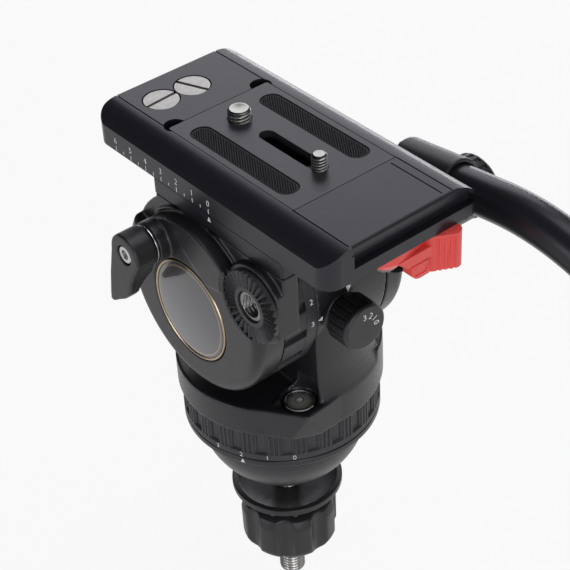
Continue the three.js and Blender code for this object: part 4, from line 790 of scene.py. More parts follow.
DIAL_PHASE = 1.1
BAND_TOP = 7.3
core = lathe([(36.2, PAN_DIAL[0]), (FLANGE_R - 0.3, PAN_DIAL[0]), (FLANGE_R, PAN_DIAL[0] + 0.3),
              (FLANGE_R, BAND_TOP - 0.3),
              (FLANGE_R - 0.3, BAND_TOP), (FLANGE_R - 1.15, BAND_TOP + 0.5), (FLANGE_R - 1.3, BAND_TOP + 1.2),
              (FLANGE_R - 1.3, PAN_DIAL[1] - 0.4), (FLANGE_R - 1.7, PAN_DIAL[1]), (36.2, PAN_DIAL[1])], "z",
              steps=180)
land = moved(dial_land(40, FLANGE_R - 0.05, BAND_TOP - 1, PAN_DIAL[1] - 0.5, 4.1, 3),
             Matrix.Rotation(math.radians(DIAL_PHASE), 4, "Z"))
lands = repeat_round(land, "z", ORIGIN, 24)
dial = softened(join(core, lands), 0.16, 2, 30)
dress(dial, "pan_dial_ring", DIAL_GREY, "pan_dial", ["pan_drag_dial"])


def round_marks(entries, radius, height, size):
    """Digits standing upright round the pan dial at (digit, angle)."""
    pieces = []
    for digit, angle in entries:
        turn = math.radians(angle)
        out = Vector((math.cos(turn), math.sin(turn), 0))
        pieces.append(written(digit, size, out * (radius + 0.02), (-out.y, out.x, 0), (0, 0, 1), 0.08,
                              thin=-0.04))
    return together(*pieces)


digits = round_marks([("3", -168.7), ("2", -153.3), ("1", -138.0), ("0", -122.7)], FLANGE_R, 5.55, 3.3)
digits = moved(digits, Matrix.Translation((0, 0, 5.6 * MM)))
dress(digits, "pan_dial_numbers", WHITE_PAINT, "pan_dial")

# Housing with the upright that carries the tilt unit
LEVEL = (-17.3, -33.9)
corner_at = (47.4 * math.cos(math.radians(-116.5)), 47.4 * math.sin(math.radians(-116.5)))
corner_outline = (arc(0, 0, HOUSING_R, -140.5, -138.5, 2) + arc(*corner_at, 2.4, -164.5, -68.5, 16)
                  + arc(0, 0, HOUSING_R, -94.5, -92.5, 2) + [(0, 0)])
corner_cone = lathe([(0, HOUSING_LOW), (46.7, HOUSING_LOW), (50.1, DECK_Z), (0, DECK_Z)], "z", steps=160)
corner = keep(prism(corner_outline, "z", HOUSING_LOW, DECK_Z), corner_cone)
rear_shoulder = math.radians(165)
front_shoulder = math.radians(-32)
upright_outline = [
    (-HOUSING_R - 1, DECK_Z - 2), (HOUSING_R + 1, DECK_Z - 2), (HOUSING_R + 1, TILT_Z - 24),
    (DRUM_R * math.cos(front_shoulder), TILT_Z + DRUM_R * math.sin(front_shoulder)),
    (DRUM_R * math.cos(rear_shoulder), TILT_Z + DRUM_R * math.sin(rear_shoulder)),
    (-HOUSING_R - 1, TILT_Z - 4),
]
housing = rod("z", ORIGIN, HOUSING_R, HOUSING_LOW, DECK_Z, 180)
column = lathe([(0, DECK_Z - 2), (HOUSING_R, DECK_Z - 2), (HOUSING_R, DECK_Z), (43.4, DECK_Z + 2.6),
                (42.8, DECK_Z + 6),
                (42.4, DECK_Z + 10), (DRUM_R, DECK_Z + 13), (DRUM_R, TILT_Z + DRUM_R), (0, TILT_Z + DRUM_R)],
                "z", steps=180)
keep(column, prism(upright_outline, "x", *UPRIGHT))
right_deck = keep(rod("z", ORIGIN, HOUSING_R - 0.1, DECK_Z - 2, DECK_Z + 6, 180),
                  block(UPRIGHT[1] - 2, 45, -45, 45, 25, 45))
cut(right_deck, rod("x", TILT, DRUM_R + GAP, 20, 46, 160))
wedge_rear = -math.sqrt(HOUSING_R ** 2 - UPRIGHT[0] ** 2) + GAP
wedge_points = [(UPRIGHT[0] + 2, wedge_rear, DECK_Z - 2), (UPRIGHT[0] + 2, wedge_rear, DECK_Z + GAP),
                (UPRIGHT[0] + 2, -22.1, DECK_Z - 2), (UPRIGHT[0] + 2, -29.2, DECK_Z + 6.5),
                (-27.65, -29.2, DECK_Z - 2), (-27.65, -29.2, DECK_Z + GAP)]
wedge_mesh = bmesh.new()
for point in wedge_points:
    wedge_mesh.verts.new(Vector(point) * MM)
bmesh.ops.convex_hull(wedge_mesh, input=wedge_mesh.verts)
wedge = put("tool", [], [])
wedge_mesh.to_mesh(wedge.data)
wedge_mesh.free()
lock_boss = keep(rod("x", PAN_LOCK, 7, 35.7, 49, 64), block(37, 50, -44, 44, HOUSING_LOW, DECK_Z))
join(housing, corner, column, right_deck, wedge, rod("x", TILT, DRUM_R, *UPRIGHT, 180),
     rod("x", TILT, 34.6, TILT_DIAL[0] + GAP, UPRIGHT[0] + 2, 120), rod("y", BALANCE, 8.6, -44.2, -34, 64),
     lock_boss)
cut(housing, rod("z", ORIGIN, 35.7, HOUSING_LOW - 2, 12.9 + 7.0, 96))
cut(housing, rod("z", ORIGIN, 15.3, HOUSING_LOW - 2, 14.6, 64))
cut(housing, rod("z", ORIGIN, 12.3, 8.3, 30.1, 64))
cut(housing, rod("x", TILT, 7.3, -31, 26, 48), rod("x", TILT, 13.3, -31, -22.9, 64))
cut(housing, rod("x", TILT, 32, -5.4, 26, 96))
cut(housing, rod("z", (*LEVEL, 0), 7.95, DECK_Z - 1.4, DECK_Z + 9, 64))
cut(housing, rod("z", (*LEVEL, 0), 7.05, DECK_Z - 3, DECK_Z + 2, 64))
cut(housing, rod("y", BALANCE, 3.8, -46.5, -30.0, 32), rod("x", PAN_LOCK, 3.3, 39.7, 51, 32))
dress(cast(housing, 0.62, 3), "housing_casting", BLACK_CAST, "pan", ["pan_housing"])

# Round level
cup_low = DECK_Z - 3 + GAP
cup_top = DECK_Z - 0.5
cup = lathe([(0, cup_low), (6.75, cup_low), (6.75, cup_top - 0.35), (6.4, cup_top), (5.95, cup_top),
             (5.6, cup_top - 0.35),
             (5.6, cup_low + 0.7), (0, cup_low + 0.7)], "z", (*LEVEL, 0), 72)
LEVEL_RING = turned_metal("level_ring", (0.62, 0.61, 0.60), (0.70, 0.69, 0.68), "z", (*LEVEL, 0), 0.16)
dress(smooth(cup, 25), "level_ring_cup", LEVEL_RING, "pan", ["level_cup"])
material, tree, body = shader("level_liquid")
body.inputs["Coat Weight"].default_value = 1.0
body.inputs["Coat Roughness"].default_value = 0.03
reach = reach_from(tree, (1, 1, 0), (*LEVEL, 0))
circle = band(tree, reach, (0.0016, 0.0017), (0.0019, 0.0020))
# Painted shade: the liquid is painted darker from the middle out towards the cup wall.
painted_wall_shade = ranged(tree, reach, 0.0, 1.0, 0.001, 0.0055)
wire(tree, mixed(tree, circle, mixed(tree, painted_wall_shade, (0.30, 0.31, 0.26), (0.07, 0.075, 0.06)),
                 (0.01, 0.01, 0.01)),
     body.inputs["Base Color"])
wire(tree, ranged(tree, noise(tree, object_coords(tree), 1.0), 0.10, 0.16), body.inputs["Roughness"])
glass = lathe([(0, cup_low + 0.8), (5.4, cup_low + 0.8), (5.4, cup_top - 0.55), (4.9, cup_top - 0.3),
               (3.4, cup_top - 0.12),
               (0, cup_top - 0.05)], "z", (*LEVEL, 0), 64)
dress(smooth(glass, 40), "level_lens", material, "pan", ["level_glass"])
BUBBLE = moulded("level_bubble", (0.45, 0.47, 0.40), (0.52, 0.54, 0.47), 0.2, 0.2, 0.004)
bubble = lathe([(0, cup_top - 0.25), (1.0, cup_top - 0.22), (1.15, cup_top - 0.12), (0.9, cup_top - 0.04),
                (0, cup_top - 0.02)],
               "z", (LEVEL[0] + 0.5, LEVEL[1] + 0.3, 0), 40)
dress(smooth(bubble, 80), "level_bubble", BUBBLE, "pan")

# Pan lock on the right of the housing
lever = prism(arc(*PAN_LOCK[1:], 7, 90, 270, 24) + arc(44, 26.6, 4.5, -90, 90, 16), "x", 49.3, 57.3)
cut(lever, rod("x", PAN_LOCK, 4.9, 53.3, 60, 40), rod("x", PAN_LOCK, 3.3, 48, 60, 32),
    prism(arc(29, 39.8, 10, 0, 360, 40)[:-1], "x", 48, 60),
    prism(arc(29, 13.4, 10, 0, 360, 40)[:-1], "x", 48, 60))
dress(softened(lever, 0.9, 4, 30), "pan_lock_blade", BLACK_MOULDED, "pan_lock",
      ["pan_lock_lever"])


def socket_screw(axis, centre, shank, head, low, head_low, head_high, flats=4.0, depth=2.0):
    """A cap screw with a hexagon socket, its head at the high end."""
    body_part = rod(axis, centre, head, head_low, head_high, 48, edge=0.35)
    join(body_part, rod(axis, centre, shank, low, head_low + 0.5, 32))
    socket = rod(axis, centre, flats / math.sqrt(3), head_high - depth, head_high + 2, 6)
    cone = lathe([(0, head_high - 0.6), (flats * 0.62, head_high + 0.6), (0, head_high + 0.7)], axis, centre,
                 40)
    return softened(cut(body_part, socket, cone), 0.12, 2, 35)


dress(socket_screw("x", PAN_LOCK, 3.0, 4.6, 40.0, 53.6, 57.0), "pan_lock_bolt", BRIGHT_STEEL, "pan_lock",
      ["pan_lock_screw"])

# Tilt drag dial
bars_low = 40.15
dial_outer = 42.15
half_top = math.radians(0.62 * 9)
half_root = math.radians(0.775 * 9)
bar_outline = [(r * math.cos(a), TILT_Z + r * math.sin(a)) for r, a in (
    (39, -half_root), (bars_low, -half_root), (dial_outer - 0.25, -half_top - 0.008),
    (dial_outer, -half_top + 0.01),
    (dial_outer, half_top - 0.01), (dial_outer - 0.25, half_top + 0.008), (bars_low, half_root),
    (39, half_root))]
bars = repeat_round(prism(bar_outline, "x", TILT_DIAL[0] + 0.2, -17.9), "x", TILT, 20)
tilt_ring = ring("x", TILT, 35.2, bars_low, TILT_DIAL[0], -17.0, 160)
join(tilt_ring, ring("x", TILT, 35.2, dial_outer, -17.9, TILT_DIAL[1], 160), bars)
dress(softened(tilt_ring, 0.22, 2, 30), "tilt_dial_ring", DIAL_GREY, "tilt_dial",
      ["tilt_drag_dial"])
marks = []
for digit, angle in (("0", 141.5), ("1", 156.0), ("2", 170.5), ("3", 185.0)):
    turn = math.radians(angle)
    out = Vector((0, math.cos(turn), math.sin(turn)))
    marks.append(written(digit, 3.6, Vector((-15.0, 0, TILT_Z)) + out * (dial_outer + 0.05), (1, 0, 0),
                         (0, math.sin(turn), -math.cos(turn)), 0.1))
dress(together(*marks), "tilt_dial_numbers", WHITE_PAINT, "tilt_dial")

# Pointers on the upright: one towards the tilt dial, one above the balance knob
turn = math.radians(184.3)
out = Vector((0, math.cos(turn), math.sin(turn)))
rise = Vector((0, -out.z, out.y))
spot = Vector((-11.2, 0, TILT_Z)) + out * DRUM_R
first = pointer(spot + Vector((-1.1, 0, 0)), spot + Vector((1.0, 0, 0)) + rise * 1.15,
                spot + Vector((1.0, 0, 0)) - rise * 1.15, out, 0.12)
second = pointer((3.2, -DRUM_R - 0.01, 82.9), (2.0, -DRUM_R - 0.01, 86.6), (4.8, -DRUM_R - 0.01, 85.6),
                 (0, -1, 0), 0.12)
dress(together(first, second), "upright_pointers", WHITE_PAINT, "pan")

# Balance knob with its numbers
KNOB_FACE = -56.2
knob = lathe([(0, KNOB_FACE), (9.0, KNOB_FACE), (9.7, KNOB_FACE + 0.25), (10.2, KNOB_FACE + 0.8),
              (10.4, KNOB_FACE + 1.6),
              (10.4, -45.3), (10.0, -44.6), (0, -44.6)], "y", BALANCE, 144)
flutes = repeat_round(rod("y", (10.75, 0, KNOB_Z), 0.75, KNOB_FACE + 2.4, -43, 16), "y", BALANCE, 18)
cut(knob, flutes)
cut(knob, rod("y", BALANCE, 3.8, -50.7, -43, 32))
dress(softened(knob, 0.15, 2, 30), "balance_grip", BLACK_MOULDED, "balance",
      ["balance_knob"])
marks = []
for digit, angle in (("3", 95.0), ("2", 61.0), ("1", 31.0), ("0", 1.0)):
    turn = math.radians(angle)
    up = Vector((math.cos(turn), 0, math.sin(turn)))
    marks.append(written(digit, 3.9, Vector((0, KNOB_FACE - 0.02, KNOB_Z)) + up * 5.3,
                         (math.sin(turn), 0, -math.cos(turn)), up,
                         0.08))
dress(together(*marks), "balance_numbers", WHITE_PAINT, "balance")

# Tilt frame: block with the dovetail, cheeks, badge, rosettes

plan = [(1 - PLATFORM_HALF, BLOCK_REAR), (PLATFORM_HALF - 1, BLOCK_REAR), (PLATFORM_HALF, BLOCK_REAR + 1),
        (PLATFORM_HALF, BLOCK_FRONT), (-PLATFORM_HALF, BLOCK_FRONT), (-PLATFORM_HALF, BLOCK_REAR + 1)]
tongue = [(-11, BLOCK_TOP - 2), (11, BLOCK_TOP - 2), (11, BLOCK_TOP), (15, BLOCK_TOP + 6),
          (-15, BLOCK_TOP + 6), (-11, BLOCK_TOP)]
top = prism(plan, "z", BLOCK_LOW, BLOCK_TOP)
join(top, prism(tongue, "y", BLOCK_REAR, BLOCK_FRONT))
cut(top, rod("x", TILT, DRUM_R + GAP, LEFT_CHEEK[1], RIGHT_CHEEK[0], 160),
    block(-12, 12, BLOCK_REAR - 2, -27.6, 110, 135))
screw_x = {"left": -33.275, "right": 29.65}
for x in screw_x.values():
    cut(top, rod("z", (x, CHEEK_SCREW_Y, 0), 2.1, 112, 126, 32),
        rod("z", (x, CHEEK_SCREW_Y, 0), 3.3, BLOCK_TOP - 3.3, 126, 40))
cut(top, rod("x", HOOK, 2.3, 28.7, 39, 32))
dress(softened(top, 0.3, 2, 30), "block_body", BLACK_ANODISED, "tilt", ["top_block"])
scale_mark = pointer((-PLATFORM_HALF - 0.02, -9.7, 122.1), (-PLATFORM_HALF - 0.02, -8.7, 119.9),
                     (-PLATFORM_HALF - 0.02, -10.7, 119.9),
                     (-1, 0, 0), 0.1)
dress(scale_mark, "scale_pointer", WHITE_PAINT, "tilt")


def rosette_boss(low, high):
    """The round boss behind a rosette, cut off flat at the rear of the block."""
    return keep(rod("x", ROSETTE, 17, low, high, 120), block(-50, 50, BLOCK_REAR, 0, 60, 130))

WALL_LOW = TILT_Z + 14.4
STEP_R = 35.2
BADGE = (0, 0.8, 73.7)
upper = [(BLOCK_REAR, CHEEK_TOP), (BLOCK_REAR, WALL_LOW), (-39.8, WALL_LOW), (0, TILT_Z),
         (BLOCK_FRONT, TILT_Z),
         (BLOCK_FRONT, CHEEK_TOP)]
cheek = lathe([(0, LEFT_CHEEK[0]), (37.6, LEFT_CHEEK[0])] + arc(38.0, LEFT_CHEEK[0] + 4.3, 4.3, -84, 0,
        12)[1:]
              + [(DRUM_R, LEFT_CHEEK[1]), (0, LEFT_CHEEK[1])], "x", TILT, 200)
# Above, between the two bosses, the drum is smaller and stands out from the flat wall
step = prism(arc(0, TILT_Z, 60, 30, 170, 60) + arc(0, TILT_Z, STEP_R, 170, 30, 60), "x", -50, -PLATFORM_HALF)
cut(step, block(-60, 60, -60, 60, 40, WALL_LOW))
cut(cheek, step)
join(cheek, prism(upper, "x", -PLATFORM_HALF, LEFT_CHEEK[1]))
bead = lathe([(36.5, -36), (36.5, -38.0), (36.9, -38.5), (37.5, -38.5), (37.9, -38.0), (37.9, -36)], "x",
             TILT, 200)
join(cheek, keep(bead, block(-50, 0, -40, 26, WALL_LOW, 130)))
join(cheek, rod("x", LOCK, 8.9, -48, LEFT_CHEEK[1], 96))
join(cheek, rosette_boss(-40.4, LEFT_CHEEK[1]))
cut(cheek, block(-70, 70, -140, 140, CHEEK_TOP, 260))
# A wedge-shaped facet of the drum's face stands a little proud
raised = prism([(9.4, 110.7), (-12.0, 94.0), (-40, 100), (-20, 130), (25, 130)], "x", -43.5, -42)
keep(raised, rod("x", TILT, STEP_R, -44, -41, 120))
cut(raised, rod("x", LOCK, 8.9, -49, -24, 96), rod("x", ROSETTE, 17.3, -49, -24, 96),
    rod("x", BADGE, 24.0, -49, -24, 96))
join(cheek, raised)
cut(cheek, rod("x", BADGE, 22.9, -46, -41.6, 120))
cut(cheek, rod("x", LOCK, 3.6, -50, -34, 48))
cut(cheek, rod("x", ROSETTE, ROSETTE_R + 0.4, -45, -40.4, 96))
cut(cheek, rod("x", ROSETTE, 6.7, -45, -30.4, 48), rod("x", TILT, 7.3, -36.25, -22, 48))
cut(cheek, rod("z", (screw_x["left"], CHEEK_SCREW_Y, 0), 2.1, 108.9, 118, 32))
dress(cast(cheek, 0.44, 3), "left_cheek_casting", BLACK_CAST, "tilt", ["left_cheek"])

cheek = lathe([(0, RIGHT_CHEEK[0]), (DRUM_R, RIGHT_CHEEK[0])] + arc(37.3, RIGHT_CHEEK[1] - 5.0, 5.0, 0, 84,
        12)
              + [(36.0, RIGHT_CHEEK[1]), (27.0, RIGHT_CHEEK[1]), (26.4, RIGHT_CHEEK[1] - 0.5),
                 (0, RIGHT_CHEEK[1] - 0.5)],
              "x", TILT, 200)
join(cheek, prism(upper, "x", *RIGHT_CHEEK))
join(cheek, rosette_boss(RIGHT_CHEEK[0], 42))
cut(cheek, block(-70, 70, -140, 140, CHEEK_TOP, 260))
cut(cheek, rod("x", ROSETTE, 6.7, 32, 44, 48), rod("x", TILT, 7.3, 22, 29.65, 48))
cut(cheek, rod("z", (screw_x["right"], CHEEK_SCREW_Y, 0), 2.1, 108.9, 118, 32))
dress(cast(cheek, 0.5, 3), "right_cheek_casting", BLACK_CAST, "tilt", ["right_cheek"])

# Badge: a clear dome over plain grey with a copper line, in a gold rim
material, tree, body = shader("badge_dome")
line = band(tree, reach_from(tree, (0, 1, 1), BADGE), (0.0195, 0.01965), (0.02015, 0.0203))
sheen = mixed(tree, ranged(tree, noise(tree, object_coords(tree, (1, 1, 1)), 24.0, 2), 0, 1),
              (0.050, 0.050, 0.052), (0.072, 0.072, 0.074))
wire(tree, mixed(tree, line, sheen, (0.30, 0.20, 0.11)), body.inputs["Base Color"])
wire(tree, ranged(tree, noise(tree, object_coords(tree), 0.6, 3), 0.30, 0.38), body.inputs["Roughness"])
body.inputs["Metallic"].default_value = 0.4
body.inputs["Coat Weight"].default_value = 1.0
body.inputs["Coat Roughness"].default_value = 0.02
dome = lathe([(0, -44.1)] + [(21.2 * math.sin(math.radians(a)),
                              -42.9 - 1.2 * math.cos(math.radians(a)) ** 2) for a in range(6, 84, 6)]
             + [(21.2, -42.8), (21.2, -41.9), (0, -41.9)], "x", BADGE, 128)
dress(smooth(dome, 40), "badge_dome", material, "tilt", ["badge_plate"])
GOLD = turned_metal("badge_gold", (0.42, 0.33, 0.22), (0.50, 0.40, 0.27), "x", BADGE, 0.24)
rim = lathe([(21.4, -41.9), (22.5, -41.9), (22.5, -42.7), (22.25, -43.1), (21.8, -43.15), (21.45, -42.9)],
            "x", BADGE, 128)
dress(smooth(rim, 35), "badge_hoop", GOLD, "tilt", ["badge_rim"])


def rosette(face, back, side):
    """A toothed disc: V grooves run out from the hub, and the hub itself is a little lower."""
    low, high = min(face, back), max(face, back)
    disc = ring("x", ROSETTE, 6.7, ROSETTE_R, low, high, 192)
    deep = face - side * 1.7
    proud = face + side * 0.4
    verts = []
    for radius, half in ((8.6, 0.8), (ROSETTE_R + 1, 1.55)):
        verts += [(deep, ROSETTE_Y + radius, ROSETTE_Z), (proud, ROSETTE_Y + radius, ROSETTE_Z - half * 1.25),
                  (proud, ROSETTE_Y + radius, ROSETTE_Z + half * 1.25)]
    groove_tool = put("tool", verts, [(0, 1, 2), (3, 5, 4), (0, 3, 4, 1), (1, 4, 5, 2), (2, 5, 3, 0)])
    grooves = repeat_round(groove_tool, "x", ROSETTE, 32)
    cut(disc, grooves)
    hub_low, hub_high = (face - 1, face + 0.35) if side < 0 else (face - 0.35, face + 1)
    cut(disc, rod("x", ROSETTE, 8.8, min(hub_low, hub_high), max(hub_low, hub_high), 96))
    return softened(disc, 0.08, 1, 40)


ROSETTE_GREY = painted_casting("rosette_grey", (0.026, 0.026, 0.027), (0.034, 0.034, 0.035),
                               (0.07, 0.07, 0.07), 0.5)
dress(rosette(-43.3, -40.7, -1), "left_teeth", ROSETTE_GREY, "tilt", ["left_rosette"])
dress(rosette(44.9, 42.3, 1), "right_teeth", ROSETTE_GREY, "tilt", ["right_rosette"])
ROSETTE_STEEL = turned_metal("insert_steel", (0.20, 0.197, 0.193), (0.27, 0.265, 0.26), "x", ROSETTE, 0.24)


def insert(low, high):
    sleeve = rod("x", ROSETTE, 6.4, low, high, 64, edge=0.3)
    core = threaded("x", ROSETTE, 5.25, 1.5875, low - 1, high + 1, 0.75, steps=48, inside=True)
    return smooth(cut(sleeve, core), 50)


dress(insert(-42.4, -30.7), "left_insert", ROSETTE_STEEL, "tilt", ["left_thread_insert"])
dress(insert(32.3, 44.4), "right_insert", ROSETTE_STEEL, "tilt", ["right_thread_insert"])

# Tilt lock: bright washer, lever with a scooped blade, socket screw in a dark counterbore
LOCK_STEEL = turned_metal("washer_steel", (0.66, 0.65, 0.63), (0.74, 0.73, 0.71), "x", LOCK, 0.16)
dress(softened(ring("x", LOCK, 3.6, 8.2, -49.0, -48.3, 96), 0.12), "lock_washer", LOCK_STEEL, "tilt",
      ["tilt_lock_washer"])
lean = math.radians(15)
blade = prism(arc(LOCK_Y, LOCK_Z, 8.9, 0, 188, 40)
              + [(12.9, 92.5), (15.2, 88.0), (16.4, 84.0), (18.4, 79.6), (21.6, 76.2), (26.0, 73.4),
                 (30.4, 70.3), (32.6, 70.5),
                 (31.9, 76.0), (30.2, 86.0), (26.9, 100.0)], "x", -59.7, -49.3)
scoop = rod("y", (-44.5, 0, 80.0), 9.5, -10, 50, 64)
cut(blade, scoop)
cast(blade, 0.4, 22)
cut(blade, rod("x", LOCK, 3.6, -62, -48, 40), rod("x", LOCK, 4.4, -62, -56.1, 48))
dress(cast(blade, 0.35, 2), "lock_blade", BLACK_MOULDED, "tilt_lock", ["tilt_lock_lever"])
screw = socket_screw("x", ORIGIN, 3.3, 3.9, 34.6, 56.4, 59.2)
moved(screw, Matrix.Translation((0, LOCK_Y * MM, LOCK_Z * MM)) @ Matrix.Rotation(math.pi, 4, "Z"))
dress(screw, "lock_bolt", BRIGHT_STEEL, "tilt_lock", ["tilt_lock_screw"])

# Sliding platform

SHOULDER_R = 14.65
shoulder = [(25.3 + a, b) for a, b in arc(0, BED_TOP - SHOULDER_R, SHOULDER_R, 90, 90 - 53.33, 14)]
section = [(-PLATFORM_HALF, PLATFORM_LOW), (PLATFORM_HALF, PLATFORM_LOW)] + shoulder[::-1] + [(-x, z) for x,
        z in shoulder]
platform = prism(section, "y", PLATFORM_REAR, PLATFORM_FRONT)
corners = (arc(7 - PLATFORM_HALF, PLATFORM_REAR + 7, 7, 180, 270, 20)
           + arc(PLATFORM_HALF - 2.5, PLATFORM_REAR + 2.5, 2.5, -90, 0, 8)
           + arc(PLATFORM_HALF - 7, PLATFORM_FRONT - 7, 7, 0, 90, 20) + arc(7 - PLATFORM_HALF,
                   PLATFORM_FRONT - 7, 7, 90, 180, 20))
keep(platform, prism(corners, "z", PLATFORM_LOW - 1, BED_TOP + 1))
channel = [(-11.6, PLATFORM_LOW - 2), (11.6, PLATFORM_LOW - 2), (11.6, PLATFORM_LOW), (15.6, 128.9),
           (-15.6, 128.9), (-11.6, PLATFORM_LOW)]
cut(platform, prism(channel, "y", PLATFORM_REAR + 4.4, PLATFORM_FRONT + 2))
cut(platform, prism(rounded(-25.25, -46.6, 25.25, 30.0, 1), "z", 129.8, 141))
inner_shoulder = [(25.3 + a, b) for a, b in arc(0, BED_TOP - SHOULDER_R, SHOULDER_R - 1.5, 90, 38, 12)]
recess = prism([(-24.0, 128.2), (36.2, 128.2),
                (36.2, inner_shoulder[-1][1])] + inner_shoulder[::-1][:-1] + [(25.3, 135.5), (-24.0, 135.5)],
               "y", PLATFORM_REAR - 2, PLATFORM_REAR + 3.2)
cut(platform, recess)
lip = prism([(PLATFORM_REAR - 1, 139.5), (PLATFORM_REAR + 1.6, 139.5), (PLATFORM_REAR + 1.6, BED_TOP)]
            + arc(PLATFORM_REAR + 1.6, BED_TOP - 1.2, 1.2, 90, 180, 8)[1:] + [(PLATFORM_REAR + 0.4, 134),
                    (PLATFORM_REAR - 1, 134)], "x", -25.0, 32.6)
cut(platform, lip)
for side in (-1, 1):
    cut(platform, rod("z", (side * 21.75, 29.7, 0), 4.6, 129.8, 141, 48))
    cut(platform, block(side * 25.3 - 0.3, side * 25.3 + 0.3, 29, PLATFORM_FRONT + 1, 137.3, 139),
        block(side * 25.3 - 0.3, side * 25.3 + 0.3, PLATFORM_REAR + 1.3, -46, 137.3, 139))
cut(platform, block(20.9, 21.5, PLATFORM_REAR + 2.4, -48.0, 137.4, 139))
cut(platform, block(23.25, 33.15, -28.3, 12.3, 129.8, 135.0))
for x, bore in ((-14.1, 3.5), (1.5, 5.1)):
    cut(platform, rod("z", (x, SPARE_Y, 0), 7.95, 134.8, 140, 64),
        rod("z", (x, SPARE_Y, 0), bore, 129.4, 139, 32))
cut(platform, rod("z", PIVOT, 2.8, 120, 129.5, 32))
dress(softened(platform, 0.3, 2, 30), "platform_body", BLACK_ANODISED, "platform",
      ["sliding_platform"])

wall = -PLATFORM_HALF - 0.02
ticks = repeat_rows(block(wall - 0.08, wall + 0.08, -9.88, -9.52, 123.6, 125.6), 7, (0, 10, 0))
short_ticks = repeat_rows(block(wall - 0.08, wall + 0.08, -4.86, -4.54, 124.0, 125.3), 6, (0, 10, 0))
numbers = [written(str(i), 3.9, (wall, -9.7 + 10 * i, 128.0), (0, -1, 0), (0, 0, 1), 0.08,
                   thin=-0.06) for i in range(7)]
dress(together(ticks, short_ticks, *numbers), "slide_scale", WHITE_PAINT, "platform")


def slotted_head(x, y, radius, low, top, slot_angle, thread_radius, thread_low, pitch, slot=1.5, deep=1.1):
    """A flat screw head with a driver slot, and the threaded shank under it."""
    head = rod("z", (x, y, 0), radius, low, top, 96, edge=0.3)
    groove_tool = moved(block(-radius - 2, radius + 2, -slot / 2, slot / 2, top - deep, top + 2),
                        Matrix.Translation((x * MM, y * MM, 0)) @ Matrix.Rotation(math.radians(slot_angle),
                                4, "Z"))
    cut(head, groove_tool)
    join(head, threaded("z", (x, y, 0), thread_radius, pitch, thread_low, low + 0.4, 0.55, steps=40))
    return softened(head, 0.12, 2, 35)


for name, x, angle, thread, node in (("spare_screw_a", -14.1, 4, QUARTER_R, "spare_quarter_screw"),
                                     ("spare_screw_b", 1.5, -68, THREE_EIGHTHS_R,
                                      "spare_three_eighths_screw")):
    steel = turned_metal(name + "_steel", (0.34, 0.33, 0.31), (0.41, 0.40, 0.38), "z", (x, SPARE_Y, 0), 0.36,
                         pitch=0.3, depth=0.01)
    dress(slotted_head(x, SPARE_Y, 7.65, 135.1, 137.95, angle, thread, 129.7, 1.4), name, steel, "platform",
          [node])

# Camera plate with its pads and screws
plate = prism(rounded(-24.95, -46.3, 24.95, 29.7, 1), "z", 130.1, BED_TOP)
cut(plate, prism(rounded(-3.4, -35.2, 3.4, 2.4, 3.39, 16), "z", 128, 141),
    block(-8.4, 8.4, -43.6, 9.8, 128, 134.7))
cut(plate, rod("z", (0, THREE_EIGHTHS_Y, 0), 5.06, 128, 141, 64),
    rod("z", (0, THREE_EIGHTHS_Y, 0), 7.7, 128, 134.7, 64))
for side in (-1, 1):
    cut(plate, prism(rounded(side * PAD_X - 4.9, -38.1, side * PAD_X + 4.9, 22.3, 4.6, 16), "z", 136.8, 141))
dress(softened(plate, 0.25, 2, 30), "plate_body", BLACK_PLATE, "plate", ["camera_plate"])


def pad(x):
    """A rubber pad with crossed rows of fine knurls on its crown."""
    base = prism(rounded(x - 4.6, -37.8, x + 4.6, 22.0, 4.3, 16), "z", 137.1, 137.8)
    knurl = put("tool", [(0, 0.66, 0), (-0.31, 0, 0), (0, -0.66, 0), (0.31, 0, 0), (0, 0, 0.6), (0, 0, -0.2)],
                [(0, 1, 4), (1, 2, 4), (2, 3, 4), (3, 0, 4), (1, 0, 5), (2, 1, 5), (3, 2, 5), (0, 3, 5)])
    moved(knurl, Matrix.Translation((0, 0, 137.77 * MM)) @ Matrix.Rotation(math.radians(-38), 4, "Z"))
    knurls = repeat_rows(knurl, 12, (1.12, 0, 0), 76, (0, 0.8, 0), (0.56, 0, 0))
    moved(knurls, Matrix.Translation(((x - 6.0) * MM, -38.0 * MM, 0)))
    shape = bmesh.new()
    shape.from_mesh(knurls.data)
    inside = []
    for vert in shape.verts:
        a, b = vert.co.x / MM - x, vert.co.y / MM
        reach = max(0.0, b - 17.5, -33.3 - b)
        inside.append(math.hypot(a, reach) <= 4.2)
    doomed = set()
    seen = set()
    for vert in shape.verts:
        if vert in seen:
            continue
        stack, group = [vert], []
        while stack:
            v = stack.pop()
            if v in seen:
                continue
            seen.add(v)
            group.append(v)
            stack += [e.other_vert(v) for e in v.link_edges]
        if not all(inside[v.index] for v in group):
            doomed.update(f for v in group for f in v.link_faces)
    bmesh.ops.delete(shape, geom=list(doomed), context="FACES")
    bmesh.ops.delete(shape, geom=[v for v in shape.verts if not v.link_faces], context="VERTS")
    shape.to_mesh(knurls.data)
    shape.free()
    softened(base, 0.2, 3, 30)
    return together(base, knurls)


dress(pad(-PAD_X), "left_pad", PAD_RUBBER, "plate", ["left_plate_pad"])
dress(pad(PAD_X), "right_pad", PAD_RUBBER, "plate", ["right_plate_pad"])


